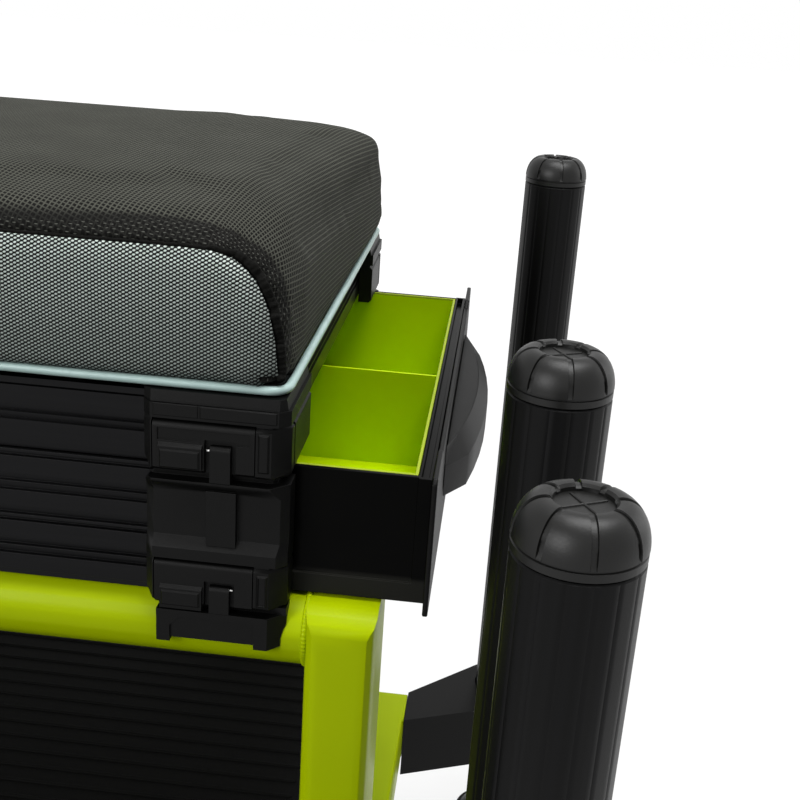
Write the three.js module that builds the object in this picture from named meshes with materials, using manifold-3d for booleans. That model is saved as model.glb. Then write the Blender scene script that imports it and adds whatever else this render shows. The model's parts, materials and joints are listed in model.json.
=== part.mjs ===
// A fishing seat box in millimetres, +Z up, its front towards -Y.
// A cushioned lid closes a shallow seat unit. The seat unit stands on a drawer unit, which
// stands on a tubular frame with a sliding footplate and six legs that slide in clamp blocks.
import * as THREE from "three";
import { mergeVertices } from "three/addons/utils/BufferGeometryUtils.js";
import Module from "manifold-3d";

const wasm = await Module();
wasm.setup();

// Clearances
const GAP = 0.3; // between two pieces that touch or run on each other
const OVERRUN = 1; // how far a cutter runs past the face that it cuts
const JOIN = 0.5; // how far the solids of one piece run into each other

// Box plan
const BOX_WIDTH = 380;
const BOX_DEPTH = 296.4;
const UNIT_WALL = 4; // aluminium wall of both units
const COVER_THICK = 7.3; // corner casting in front of the wall
const COVER_LENGTH = 56; // corner casting along the front
const COVER_WRAP = 46.5; // corner casting along a closed side
const COVER_CHAMFER = 6.6;
const COVER_LEAD = 3.4; // slope that rises from the wall to the casting's face
const COVER_LEAD_DEPTH = 4;
const BAND_CHAMFER = 4; // on the bands above the latches
const COVER_CUT_WIDTH = 4.1; // corner cut off where two castings meet
const COVER_CUT_HEIGHT = 5;

// Heights
const RING_BASE = 82; // ground to the underside of the lower ring
const RAIL_DIAMETER = 32;
const POST_LENGTH = 231.2; // lower ring to the top of the upper rails
const DRAWER_UNIT_HEIGHT = 56.1;
const SEAT_UNIT_HEIGHT = 32.1;
const SEAT_WALL_DROP = 2.5; // seat unit wall below its corner castings
const BOARD_THICK = 3.6;
const CUSHION_HEIGHT = 65.3;

// Ribs on the unit walls, as shares of one module from its foot to its top
const SEAT_MODULE_SHARES = [0.127, 0.281, 0.089, 0.021, 0.103, 0.267, 0.027, 0.085];
const DRAWER_MODULE_SHARES = [0.118, 0.251, 0.118, 0.021, 0.108, 0.276, 0.061, 0.047];
const RIB_DEPTH = 2;
const DRAWER_UNIT_MODULES = 2;

// Corner castings
const EDGE_BEVEL = 1.4;
const SHADOW_SLOT = 1; // slot above a latch
const SEAT_BAND = 6;
const SEAT_BAND_STEP = 1.2;
const SEAT_TOP_LEAN = 2;
const SIDE_SLOT_WIDTH = 2;
const SIDE_SLOT_DEPTH = 1.5;
const SIDE_SLOT_FROM_EDGE = 11;
const LEDGE_DROP = 3.2; // catch ledge below the unit that stands on it
const LEDGE_NECK = 5; // depth of the ledge
const LOWER_BAND = 4.9;
const LOWER_SLOPE = 4;
const LEDGE_LIP = 1.4; // height of the ledge's face
const UPPER_SLOPE = 4.4;
const PANEL_INSET = 3.4;
const STRAP_WIDTH = 11.6;
const STRAP_START = 24.5; // from the start of the casting
const STRAP_PROUD = 2.8;
const OPEN_SIDE_WRAP = 16.3; // corner casting beside the drawer

// Latches
const LATCH_WIDTH = 39;
const LATCH_START = 4.1; // from the start of the casting
const LATCH_THICK = 5;
const UPPER_LATCH_HEIGHT = 20.4;
const LOWER_LATCH_HEIGHT = 19.1;
const LATCH_PIN = 1.2; // radius
const PAD_START = 2.4;
const PAD_WIDTH = 16.8;
const PAD_HEIGHT = 10.3;
const UPPER_PAD_RISE = 1.9; // above the latch's foot
const LOWER_PAD_RISE = -1;
const LOWER_LATCH_OVERHANG = 0.9; // below the pocket
const PAD_PROUD = 1.5;
const HOOK_START = 21.9;
const HOOK_WIDTH = 8;
const UPPER_HOOK_HEIGHT = 11.7; // above the latch's foot
const LOWER_HOOK_HEIGHT = 9.5;
const HOOK_PROUD = 0.4;
const HOOK_NOTCH = 2;
const HOOK_NOTCH_DEPTH = 2.2;
const HOOK_ROUND_STEPS = 3;
const LATCH_ROUND_STEPS = 6;
const LATCH_BAND_HEIGHT = 5.6; // shallow sunk band above the upper latch's pad
const LATCH_BAND_DEPTH = 0.6;
const LATCH_BAND_GAP = 0.5;
const LATCH_BAND_MARGIN = 2;

// Box brackets on the rails
const BRACKET_START = 4.7; // from the start of the casting
const BRACKET_WIDTH = 51.2;
const BRACKET_DROP = 17.3; // below the top of the rail
const BRACKET_FOOT = 1.5;
const BRACKET_FOOT_WIDTH = 5.4;
const BRACKET_PANEL_DEPTH = 1;
const BRACKET_PANEL_TOP = 3;
const BRACKET_PANEL_CHAMFER = 4;
const BRACKET_REACH = 12.7; // from the front face towards the rail's top

// Lid
const PIPING_DIAMETER = 3.6;
const PIPING_SIDE_INSET = 2.5; // piping centre line inside the box's sides
const PIPING_FRONT_INSET = 5.2;
const PIPING_CORNER = 7.6;
const CUSHION_BULGE = 1.6;
const CUSHION_DRAW = 1.8; // how far the sides pull in between the corners
const CUSHION_EDGE_STEPS = 6;
const CUSHION_CORNER_STEPS = 4;
// Cushion rings from the seam up: share of the height, share of the crown inset, share of the corner radius
const CUSHION_RING_SHARES = [
  [0, 0, 0],
  [0.1, 0, 0.05],
  [0.32, 0, 0.16],
  [0.55, 0.006, 0.28],
  [0.75, 0.022, 0.45],
  [0.88, 0.06, 0.65],
  [0.955, 0.12, 0.82],
  [0.985, 0.22, 1],
  [0.995, 0.45, 0.9],
  [1, 0.75, 0.4],
];
const CUSHION_CROWN_INSET = 132;
const CUSHION_TOP_CORNER = 48;

// Lid hinge behind the box
const HINGE_PIN = 1.5; // radius
const HINGE_BARREL = 3.5; // radius
const HINGE_SET_BACK = 3.3; // pin behind the rear castings
const HINGE_DROP = 2; // pin below the castings' tops
const HINGE_KNUCKLE = 30;
const HINGE_KNUCKLE_GAP = 2;
const HINGE_COVER_GAP = 7; // between a knuckle and the corner casting beside it
const HINGE_LEAF_THICK = 2.2;
const HINGE_LEAF_LENGTH = 22;

// Seat tray
const TRAY_WALL = 2;
const SEAT_TRAY_DROP = 5; // rim below the seat unit wall

// Drawer
const DRAWER_OPEN = 52.3; // how far it stands open
const DRAWER_FLOOR = 1; // sheet under the drawer
const DRAWER_SIDE_CLEARANCE = 0.8;
const DRAWER_WALL = 2;
const DRAWER_RAIL_STEP = 1.2; // plinth along the foot of the drawer
const DRAWER_RAIL_HEIGHT = 8.5;
const FRONT_WALL = 5.5;
const FRONT_GROOVE_WIDTH = 2.9;
const FRONT_GROOVE_DEPTH = 3;
const FRONT_GROOVE_START = 1.1;
const PLATE_CLEARANCE = 1.1;
const PLATE_THICK = 2.2;
const PLATE_LENGTH = 283.2;
const PLATE_RISE = 1.5; // plate's foot above the drawer unit's base
const PLATE_RIM = 0.6; // plate's rim above the drawer
const EAR_LENGTH = 32.3;
const EAR_RISE = 4;
const EAR_CHAMFER = 2;
const LINER_WALL = 1.3;
const DIVIDER_SHARE = 0.48; // of the liner's length from its near end
const DIVIDER_DROP = 2;
const HANDLE_LENGTH = 168;
const HANDLE_REACH = 15.6;
const HANDLE_END_REACH = 9.4;
const HANDLE_END_FACET = 15;
const HANDLE_DROP = 7; // handle's top below the plate's rim
const HANDLE_HEIGHT = 22.5;
const HANDLE_LIP_HEIGHT = 8; // slope round the handle's flat top
const HANDLE_LIP = 5.2; // how far that slope reaches in
const HANDLE_WALL = 3;
const HANDLE_STEPS = 8;

// Frame
const RAIL_INSET = 20.9; // rail centre line inside the box's front and rear
const SIDE_RAIL_DIAMETER = 30;
const SIDE_RAIL_INSET = 14; // side rail centre line inside the box's sides
const POST_GAP = 7.6; // between the box's side and a front post
const POST_WIDTH = 28.5;
const POST_DEPTH = 44.7;
const POST_FRONT_INSET = 0.9; // post's front behind the box's front
const POST_ROUND = 6.5;
const POST_TOP_ROUND = 14; // over the front post's top
const POST_TOP_STEPS = 5;
const REAR_POST_OFFSET = 114; // from the middle of the frame
const LOWER_RAIL_ROUND = 4;
const TRACK_WALL = 3;
const TRACK_FLANGE = 12;
const TRACK_GAP = 3.6; // between a track and a front post

// Footplate
const SLIDE_WIDTH = 20.4;
const SLIDE_HEIGHT = 31.4;
const SLIDE_BACK = 95; // slide's rear end behind the box's middle
const CROSSBAR_DEPTH = 30;
const DECK_THICK = 3;
const DECK_RISE = 22.3; // deck's top above the slides
const DECK_OVERHANG = 0.3; // deck's edge inside the slides' outer faces
const DECK_BACK = 97;
const DECK_FRONT_GAP = 7; // between the deck and the crossbar
const DECK_WEB = 8;
const DECK_WEB_INSET = 10;

// Legs
const LEG_DIAMETER = 36;
const LEG_WALL = 2;
const LEG_Y = 166.8; // frame legs from the middle of the box
const FRONT_LEG_X = 284.9;
const REAR_LEG_X = 289.8;
const FOOTPLATE_LEG_X = 287.6;
const FOOTPLATE_LEG_Y = 269.7;
const TUBE_LENGTH = 400;
const FRONT_LEG_STAND = 55; // ground to the tube's lower end
const REAR_LEG_STAND = 67.5;
const FOOTPLATE_LEG_STAND = 49.1;
const FOOT_RADIUS = 24;
const FOOT_RIM = 5;
const FOOT_DOME = 9;
const FOOT_BALL = 13;
const FOOT_STEM = 9; // radius
const LEG_SIDES = 24;

// Leg caps
const CAP_SKIRT = 3.5;
const CAP_HEIGHT = 15;
const CAP_RIM_RADIUS = 9.8;
const CAP_DISC_RADIUS = 8;
const CAP_DISC_DEPTH = 1.8;
const CAP_SPIGOT = 8;
const CAP_DOME_STEPS = 4;

// Leg blocks and clamp knobs
const BLOCK_RADIUS = 27;
const BLOCK_HEIGHT = 44;
const BLOCK_BASE = 70;
const FOOTPLATE_BLOCK_HEIGHT = 50;
const FOOTPLATE_BLOCK_BASE = 108;
const BLOCK_ARC_STEPS = 8;
const KNOB_STEM = 4; // radius
const KNOB_STEM_LENGTH = 6;
const KNOB_RADIUS = 15;
const KNOB_THICK = 14;
const KNOB_LOBES = 6;
const KNOB_LOBE_DEPTH = 2.4;

// Levels and planes that follow from the sizes above
const halfX = BOX_WIDTH / 2;
const halfY = BOX_DEPTH / 2;
const wallX = halfX - COVER_THICK - GAP;
const wallY = halfY - COVER_THICK - GAP;
const coverStart = halfX - COVER_LENGTH;
const lowerRingTop = RING_BASE + RAIL_DIAMETER;
const frameTop = lowerRingTop + POST_LENGTH;
const railZ = frameTop - RAIL_DIAMETER / 2;
const railY = halfY - RAIL_INSET;
const drawerUnitBase = frameTop + GAP;
const drawerUnitTop = drawerUnitBase + DRAWER_UNIT_HEIGHT;
const seatUnitBase = drawerUnitTop + GAP;
const seatUnitTop = seatUnitBase + SEAT_UNIT_HEIGHT;
const seatWallTop = seatUnitTop - SEAT_WALL_DROP;
const lidBase = seatUnitTop + GAP;
const boardTop = lidBase + BOARD_THICK;
const cushionBase = boardTop + GAP;
const hingeY = halfY + HINGE_SET_BACK;
const hingeZ = seatUnitTop - HINGE_DROP;
const hingeBoxX = coverStart - HINGE_COVER_GAP - HINGE_KNUCKLE / 2;
const hingeLidX = hingeBoxX - HINGE_KNUCKLE - HINGE_KNUCKLE_GAP;
const postInner = halfX + POST_GAP;
const postOuter = postInner + POST_WIDTH;
const postFront = halfY - POST_FRONT_INSET;
const postRear = postFront - POST_DEPTH;
const trackOuter = postInner - TRACK_GAP;
const slideOuter = trackOuter - TRACK_WALL - GAP;
const slideInner = slideOuter - SLIDE_WIDTH;
const slideBase = lowerRingTop + TRACK_WALL + GAP;
const slideTop = slideBase + SLIDE_HEIGHT;
const deckTop = slideTop + DECK_RISE;
const legRadius = LEG_DIAMETER / 2;
const frontReach = FOOTPLATE_LEG_Y + BLOCK_RADIUS + GAP + KNOB_THICK;
const rearReach = LEG_Y + BLOCK_RADIUS + GAP + KNOB_THICK;

// The four corners, each with its sides: right is +X and rear is +Y
const CORNERS = [
  ["front_right", 1, -1],
  ["front_left", -1, -1],
  ["rear_right", 1, 1],
  ["rear_left", -1, 1],
];

// Finishes
const BLACK_CASTING = { color: 0x20201f, roughness: 0.6, metalness: 0 };
const BLACK_ALUMINIUM = { color: 0x1b1b1e, roughness: 0.42, metalness: 0.8 };
const LIME_ENAMEL = { color: 0xa5bd05, roughness: 0.35, metalness: 0 };
const LIME_PLASTIC = { color: 0x86a000, roughness: 0.5, metalness: 0 };
const CUSHION_FABRIC = { color: 0x3c3d3d, roughness: 0.9, metalness: 0 };
const PIPING_VINYL = { color: 0xa8c0bc, roughness: 0.5, metalness: 0 };
const TRAY_PLASTIC = { color: 0x2a2a2a, roughness: 0.7, metalness: 0 };
const STEEL = { color: 0x9a9a9a, roughness: 0.35, metalness: 1 };

// A closed geometry as a solid that can be joined and cut
function solidOf(geometry) {
  const bare = geometry.index ? geometry.toNonIndexed() : geometry.clone();
  bare.deleteAttribute("normal");
  bare.deleteAttribute("uv");
  const merged = mergeVertices(bare);
  const triangles = [];
  for (let i = 0; i < merged.index.count; i += 3) {
    const [a, b, c] = merged.index.array.slice(i, i + 3);
    if (a !== b && b !== c && c !== a) triangles.push(a, b, c);
  }
  const vertProperties = new Float32Array(merged.attributes.position.array);
  const triVerts = new Uint32Array(triangles);
  return new wasm.Manifold(new wasm.Mesh({ numProp: 3, vertProperties, triVerts }));
}

// A solid as a geometry that a mesh can carry
function geometryOf(solid) {
  const made = solid.getMesh();
  const geometry = new THREE.BufferGeometry();
  geometry.setAttribute("position", new THREE.BufferAttribute(made.vertProperties, made.numProp));
  geometry.setIndex(new THREE.BufferAttribute(made.triVerts, 1));
  geometry.computeVertexNormals();
  return geometry;
}

function addPiece(parent, name, solid, finish) {
  const mesh = new THREE.Mesh(geometryOf(solid), new THREE.MeshStandardMaterial(finish));
  mesh.name = name;
  parent.add(mesh);
  return mesh;
}

function join(...solids) {
  return solids.reduce((whole, next) => whole.add(next));
}

function block(x0, x1, y0, y1, z0, z1) {
  const box = new THREE.BoxGeometry(x1 - x0, y1 - y0, z1 - z0);
  box.translate((x0 + x1) / 2, (y0 + y1) / 2, (z0 + z1) / 2);
  return solidOf(box);
}

// An outline extruded from one place to another: along Z it holds (x, y), along X (y, z), along Y (x, z)
function prism(points, axis, from, to) {
  const shape = new THREE.Shape(points.map(([a, b]) => new THREE.Vector2(a, b)));
  const made = new THREE.ExtrudeGeometry(shape, { depth: to - from, bevelEnabled: false });
  if (axis === "z") made.translate(0, 0, from);
  if (axis === "x") {
    made.translate(0, 0, from);
    made.rotateX(Math.PI / 2).rotateZ(Math.PI / 2);
  }
  if (axis === "y") {
    made.translate(0, 0, -to);
    made.rotateX(Math.PI / 2);
  }
  return solidOf(made);
}

// A round rod along an axis, through the point (a, b) of the plane across it, as prism holds it
function rod(radius, axis, from, to, a, b, sides = LEG_SIDES) {
  const points = [];
  for (let i = 0; i < sides; i += 1) {
    const turn = ((i + 1 / 2) / sides) * 2 * Math.PI;
    points.push([a + radius * Math.cos(turn), b + radius * Math.sin(turn)]);
  }
  return prism(points, axis, from, to);
}

// A round bore that leaves its whole radius clear between its flats
function bore(radius, axis, from, to, a, b, sides = LEG_SIDES) {
  return rod(radius / Math.cos(Math.PI / sides), axis, from, to, a, b, sides);
}

// A rectangle with round corners, anticlockwise; each edge is split into edgeSteps
function roundedOutline(x, y, radius, cornerSteps, edgeSteps = 1) {
  const points = [];
  const centres = [
    [x - radius, y - radius],
    [radius - x, y - radius],
    [radius - x, radius - y],
    [x - radius, radius - y],
  ];
  centres.forEach(([cx, cy], quarter) => {
    for (let i = 0; i <= cornerSteps; i += 1) {
      const turn = ((quarter + i / cornerSteps) * Math.PI) / 2;
      points.push([cx + radius * Math.cos(turn), cy + radius * Math.sin(turn)]);
    }
    const [ax, ay] = points[points.length - 1];
    const [nx, ny] = centres[(quarter + 1) % centres.length];
    const turn = ((quarter + 1) * Math.PI) / 2;
    const bx = nx + radius * Math.cos(turn);
    const by = ny + radius * Math.sin(turn);
    for (let i = 1; i < edgeSteps; i += 1) {
      points.push([ax + ((bx - ax) * i) / edgeSteps, ay + ((by - ay) * i) / edgeSteps]);
    }
  });
  return points;
}

// A closed solid through level outlines of as many points each, listed upwards as [z, outline]
function loft(levels) {
  const count = levels[0][1].length;
  const corner = (level, i) => [...levels[level][1][i % count], levels[level][0]];
  const positions = [];
  const addTriangle = (a, b, c) => positions.push(...a, ...b, ...c);
  for (let level = 0; level + 1 < levels.length; level += 1) {
    for (let i = 0; i < count; i += 1) {
      addTriangle(corner(level, i), corner(level, i + 1), corner(level + 1, i + 1));
      addTriangle(corner(level, i), corner(level + 1, i + 1), corner(level + 1, i));
    }
  }
  const top = levels.length - 1;
  const flat = (level) => levels[level][1].map(([x, y]) => new THREE.Vector2(x, y));
  THREE.ShapeUtils.triangulateShape(flat(0), []).forEach(([a, b, c]) => {
    addTriangle(corner(0, a), corner(0, c), corner(0, b));
  });
  THREE.ShapeUtils.triangulateShape(flat(top), []).forEach(([a, b, c]) => {
    addTriangle(corner(top, a), corner(top, b), corner(top, c));
  });
  const geometry = new THREE.BufferGeometry();
  geometry.setAttribute("position", new THREE.Float32BufferAttribute(positions, 3));
  return solidOf(geometry);
}

// A round hoop of a small section that follows a closed outline at one height
function hoop(outline, z, radius, sides) {
  const count = outline.length;
  const positions = [];
  const point = (i, j) => {
    const [px, py] = outline[(i + count - 1) % count];
    const [x, y] = outline[i % count];
    const [qx, qy] = outline[(i + 1) % count];
    const out = new THREE.Vector2(qy - py, px - qx).normalize();
    const turn = (j / sides) * 2 * Math.PI;
    const away = radius * Math.cos(turn);
    return [x + out.x * away, y + out.y * away, z + radius * Math.sin(turn)];
  };
  for (let i = 0; i < count; i += 1) {
    for (let j = 0; j < sides; j += 1) {
      positions.push(...point(i, j), ...point(i + 1, j), ...point(i + 1, j + 1));
      positions.push(...point(i, j), ...point(i + 1, j + 1), ...point(i, j + 1));
    }
  }
  const geometry = new THREE.BufferGeometry();
  geometry.setAttribute("position", new THREE.Float32BufferAttribute(positions, 3));
  return solidOf(geometry);
}

// Ribbed unit walls: a closed band whose outer face steps in at each groove
function ribbedBand(base, top, modules, shares) {
  const levels = [];
  const moduleHeight = (top - base) / modules;
  const square = (inset) => {
    const [x, y] = [wallX - inset, wallY - inset];
    return [[x, y], [-x, y], [-x, -y], [x, -y]];
  };
  let z = base;
  for (let module = 0; module < modules; module += 1) {
    shares.forEach((share, i) => {
      const inset = i % 2 === 0 ? RIB_DEPTH : 0;
      levels.push([z, square(inset)]);
      z = base + moduleHeight * (module + shares.slice(0, i + 1).reduce((a, b) => a + b));
      levels.push([z, square(inset)]);
    });
  }
  const innerX = wallX - UNIT_WALL;
  const innerY = wallY - UNIT_WALL;
  const inside = block(-innerX, innerX, -innerY, innerY, base - OVERRUN, top + OVERRUN);
  return loft(levels).subtract(inside);
}

// Plan of a corner casting that points to +x and +y, its outer faces drawn in by inset
function coverOutline(wrap, inset, sideInset = inset, chamfer = COVER_CHAMFER) {
  return [
    [coverStart, wallY + GAP],
    [wallX + GAP, wallY + GAP],
    [wallX + GAP, halfY - wrap],
    [halfX - sideInset, halfY - wrap],
    [halfX - sideInset, halfY - chamfer],
    [halfX - chamfer + inset - sideInset, halfY - inset],
    [coverStart + COVER_LEAD, halfY - inset],
    [coverStart, halfY - COVER_LEAD_DEPTH - inset / 2],
  ];
}

// The casting without the corner that meets another casting at height z; up is 1 where the cut opens up
function withCutCorner(cover, z, up) {
  const outer = z - up * OVERRUN;
  const outline = [
    [coverStart - OVERRUN, outer],
    [coverStart + COVER_CUT_WIDTH, outer],
    [coverStart + COVER_CUT_WIDTH, z],
    [coverStart, z + up * COVER_CUT_HEIGHT],
    [coverStart - OVERRUN, z + up * COVER_CUT_HEIGHT],
  ];
  return cover.subtract(prism(outline, "y", 0, halfY + OVERRUN));
}

// Pocket for a latch, with its pin left standing across it
function withLatchPocket(cover, base, top) {
  const x0 = coverStart + LATCH_START - GAP;
  const x1 = x0 + LATCH_WIDTH + 2 * GAP;
  const back = halfY - LATCH_THICK - GAP;
  const pocket = block(x0, x1, back, halfY + OVERRUN, base - OVERRUN, top + GAP);
  const pinY = halfY - LATCH_THICK / 2;
  const pinZ = top - LATCH_THICK / 2;
  const pin = rod(LATCH_PIN, "x", x0 - JOIN, x1 + JOIN, pinY, pinZ, 10);
  return cover.subtract(pocket).add(pin);
}

function seatUnitCover() {
  const latchTop = seatUnitBase + GAP + UPPER_LATCH_HEIGHT;
  const bandBase = latchTop + SHADOW_SLOT;
  const bandTop = bandBase + SEAT_BAND;
  const levels = [
    [seatUnitBase, EDGE_BEVEL],
    [seatUnitBase + EDGE_BEVEL, 0],
    [latchTop - EDGE_BEVEL, 0],
    [latchTop, EDGE_BEVEL],
    [bandBase, EDGE_BEVEL],
    [bandBase, 0, 0, BAND_CHAMFER],
    [bandTop, 0, 0, BAND_CHAMFER],
    [bandTop, SEAT_BAND_STEP, SEAT_BAND_STEP, BAND_CHAMFER],
    [seatUnitTop, SEAT_TOP_LEAN, SEAT_TOP_LEAN, BAND_CHAMFER],
  ];
  const cover = loft(levels.map(([z, ...insets]) => [z, coverOutline(COVER_WRAP, ...insets)]));
  const slotY = halfY - SIDE_SLOT_FROM_EDGE;
  const slot = block(
    halfX - SIDE_SLOT_DEPTH,
    halfX + OVERRUN,
    slotY - SIDE_SLOT_WIDTH,
    slotY,
    seatUnitBase + EDGE_BEVEL,
    bandBase,
  );
  const open = withLatchPocket(cover.subtract(slot), seatUnitBase, latchTop);
  return withCutCorner(open, seatUnitBase, 1);
}

function drawerUnitCover(wrap) {
  const latchTop = drawerUnitBase + GAP + LOWER_LATCH_HEIGHT - LOWER_LATCH_OVERHANG;
  const bandBase = latchTop + SHADOW_SLOT;
  const bandTop = bandBase + LOWER_BAND;
  const ledge = seatUnitBase - LEDGE_DROP;
  const levels = [
    [drawerUnitBase, EDGE_BEVEL],
    [drawerUnitBase + EDGE_BEVEL, 0],
    [latchTop - EDGE_BEVEL, 0],
    [latchTop, EDGE_BEVEL],
    [bandBase, EDGE_BEVEL],
    [bandBase, 0, 0, BAND_CHAMFER],
    [bandTop, 0, 0, BAND_CHAMFER],
    [bandTop + LOWER_SLOPE, PANEL_INSET, 0],
    [ledge - LEDGE_LIP - UPPER_SLOPE, PANEL_INSET, 0],
    [ledge - LEDGE_LIP, 0],
    [ledge, 0],
    [ledge, LEDGE_NECK],
    [drawerUnitTop, LEDGE_NECK],
  ];
  const cover = loft(levels.map(([z, ...insets]) => [z, coverOutline(wrap, ...insets)]));
  const strapX = coverStart + STRAP_START;
  const strapFace = halfY - PANEL_INSET + STRAP_PROUD;
  const strapBase = bandTop + LOWER_SLOPE / 2;
  const strapBack = halfY - PANEL_INSET - JOIN;
  const strapTop = ledge - LEDGE_LIP - UPPER_SLOPE / 2;
  const strap = block(strapX, strapX + STRAP_WIDTH, strapBack, strapFace, strapBase, strapTop);
  const open = withLatchPocket(cover.add(strap), drawerUnitBase, latchTop);
  return withCutCorner(withCutCorner(open, drawerUnitBase, 1), drawerUnitTop, -1);
}

// A latch about its pin: a lever with a half-round top, a thumb pad and a hook over the ledge below.
// The places of pad and hook are given above the lever's foot; the hook's foot lies below it.
function latch(height, padRise, hookHeight, hookDrop, hasBand) {
  const half = LATCH_THICK / 2;
  const foot = half - height;
  const profile = [[-half, foot], [half - EDGE_BEVEL, foot], [half, foot + EDGE_BEVEL]];
  for (let i = 0; i <= LATCH_ROUND_STEPS; i += 1) {
    const turn = (i / LATCH_ROUND_STEPS) * Math.PI;
    profile.push([half * Math.cos(turn), half * Math.sin(turn)]);
  }
  const lever = prism(profile, "x", 0, LATCH_WIDTH);
  const padFoot = foot + padRise;
  const padTop = padFoot + PAD_HEIGHT;
  const padProfile = [
    [half - JOIN, padFoot],
    [half + PAD_PROUD, padFoot],
    [half + PAD_PROUD, padTop - PAD_PROUD],
    [half - JOIN, padTop],
  ];
  const pad = prism(padProfile, "x", PAD_START, PAD_START + PAD_WIDTH);
  const hookTop = foot + hookHeight;
  const hookEnd = HOOK_START + HOOK_WIDTH;
  const notch = block(
    HOOK_START - HOOK_NOTCH,
    hookEnd + HOOK_NOTCH,
    half - HOOK_NOTCH_DEPTH,
    half + OVERRUN,
    foot - OVERRUN,
    hookTop + HOOK_NOTCH,
  );
  const hookFace = half + HOOK_PROUD;
  const hookFoot = foot - hookDrop;
  const hookProfile = [[0, hookTop], [0, hookFoot], [hookFace, hookFoot]];
  for (let i = 0; i <= HOOK_ROUND_STEPS; i += 1) {
    const turn = ((i / HOOK_ROUND_STEPS) * Math.PI) / 2;
    const away = HOOK_NOTCH_DEPTH * (1 - Math.cos(turn));
    const rise = HOOK_NOTCH_DEPTH * (1 - Math.sin(turn));
    hookProfile.push([hookFace - away, hookTop - rise]);
  }
  const hook = prism(hookProfile, "x", HOOK_START, hookEnd);
  const eye = bore(LATCH_PIN + GAP, "x", -OVERRUN, LATCH_WIDTH + OVERRUN, 0, 0, 10);
  const whole = lever.add(pad).subtract(notch).add(hook).subtract(eye);
  if (!hasBand) return whole;
  const bandBase = padTop + LATCH_BAND_GAP;
  const bandEnd = LATCH_WIDTH - LATCH_BAND_MARGIN;
  const bandTop = Math.min(bandBase + LATCH_BAND_HEIGHT, -LATCH_BAND_GAP);
  const face = half - LATCH_BAND_DEPTH;
  const band = block(LATCH_BAND_MARGIN, bandEnd, face, half + OVERRUN, bandBase, bandTop);
  return whole.subtract(band);
}

// A bracket that holds the drawer unit on a rail, and gives the lower latch its ledge
function boxBracket() {
  const x0 = coverStart + BRACKET_START;
  const x1 = x0 + BRACKET_WIDTH;
  const back = halfY - BRACKET_REACH;
  const foot = frameTop - BRACKET_DROP;
  const ledge = drawerUnitBase - LEDGE_DROP;
  const plan = [
    [x0, back],
    [x1, back],
    [x1, halfY - COVER_CHAMFER],
    [x1 - COVER_CHAMFER, halfY],
    [x0, halfY],
  ];
  const [panelStart, panelEnd] = [x0 + BRACKET_FOOT_WIDTH, x1 - COVER_CHAMFER - BRACKET_FOOT_WIDTH];
  const gap = block(panelStart, panelEnd, back - OVERRUN, halfY + OVERRUN, foot - OVERRUN, foot + BRACKET_FOOT);
  const body = prism(plan, "z", foot, ledge).subtract(gap);
  const neck = block(x0, x1, back, halfY - LEDGE_NECK, ledge - JOIN, frameTop);
  const panelTop = ledge - BRACKET_PANEL_TOP;
  const outline = [
    [panelStart, foot - OVERRUN],
    [panelEnd, foot - OVERRUN],
    [panelEnd, panelTop],
    [panelStart + BRACKET_PANEL_CHAMFER, panelTop],
    [panelStart, panelTop - BRACKET_PANEL_CHAMFER],
  ];
  const panel = prism(outline, "y", halfY - BRACKET_PANEL_DEPTH, halfY + OVERRUN);
  const rail = bore(RAIL_DIAMETER / 2 + GAP, "x", x0 - OVERRUN, x1 + OVERRUN, railY, railZ);
  return join(body, neck).subtract(panel).subtract(rail);
}

// Seat board with the lid's two hinge knuckles under its rear edge
function seatBoard() {
  const inset = PIPING_DIAMETER / 2 + GAP;
  const x = halfX - PIPING_SIDE_INSET - inset;
  const y = halfY - PIPING_FRONT_INSET - inset;
  const corner = PIPING_CORNER - inset;
  const board = prism(roundedOutline(x, y, corner, 3), "z", lidBase, boardTop);
  const leafBase = lidBase - GAP - HINGE_LEAF_THICK;
  const parts = [board];
  for (const side of [-1, 1]) {
    const middle = side * hingeLidX;
    const [a, b] = [middle - HINGE_KNUCKLE / 2, middle + HINGE_KNUCKLE / 2];
    parts.push(block(a, b, hingeY - HINGE_LEAF_LENGTH, hingeY, leafBase, lidBase - GAP));
    parts.push(block(a, b, hingeY - HINGE_LEAF_LENGTH, y, leafBase, lidBase + JOIN));
    parts.push(rod(HINGE_BARREL, "x", a, b, hingeY, hingeZ, 12));
  }
  const eye = bore(HINGE_PIN + GAP, "x", -halfX, halfX, hingeY, hingeZ, 12);
  return join(...parts).subtract(eye);
}

// Seat unit walls with the box's two hinge knuckles on the rear wall
function seatUnitWalls() {
  const parts = [ribbedBand(seatUnitBase, seatWallTop, 1, SEAT_MODULE_SHARES)];
  for (const side of [-1, 1]) {
    const middle = side * hingeBoxX;
    const [a, b] = [middle - HINGE_KNUCKLE / 2, middle + HINGE_KNUCKLE / 2];
    const leafBase = seatWallTop - HINGE_BARREL - HINGE_LEAF_THICK;
    parts.push(block(a, b, wallY - UNIT_WALL / 2, hingeY, leafBase, seatWallTop - HINGE_LEAF_THICK));
    parts.push(rod(HINGE_BARREL, "x", a, b, hingeY, hingeZ, 12));
  }
  const eye = bore(HINGE_PIN + GAP, "x", -halfX, halfX, hingeY, hingeZ, 12);
  return join(...parts).subtract(eye);
}

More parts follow.
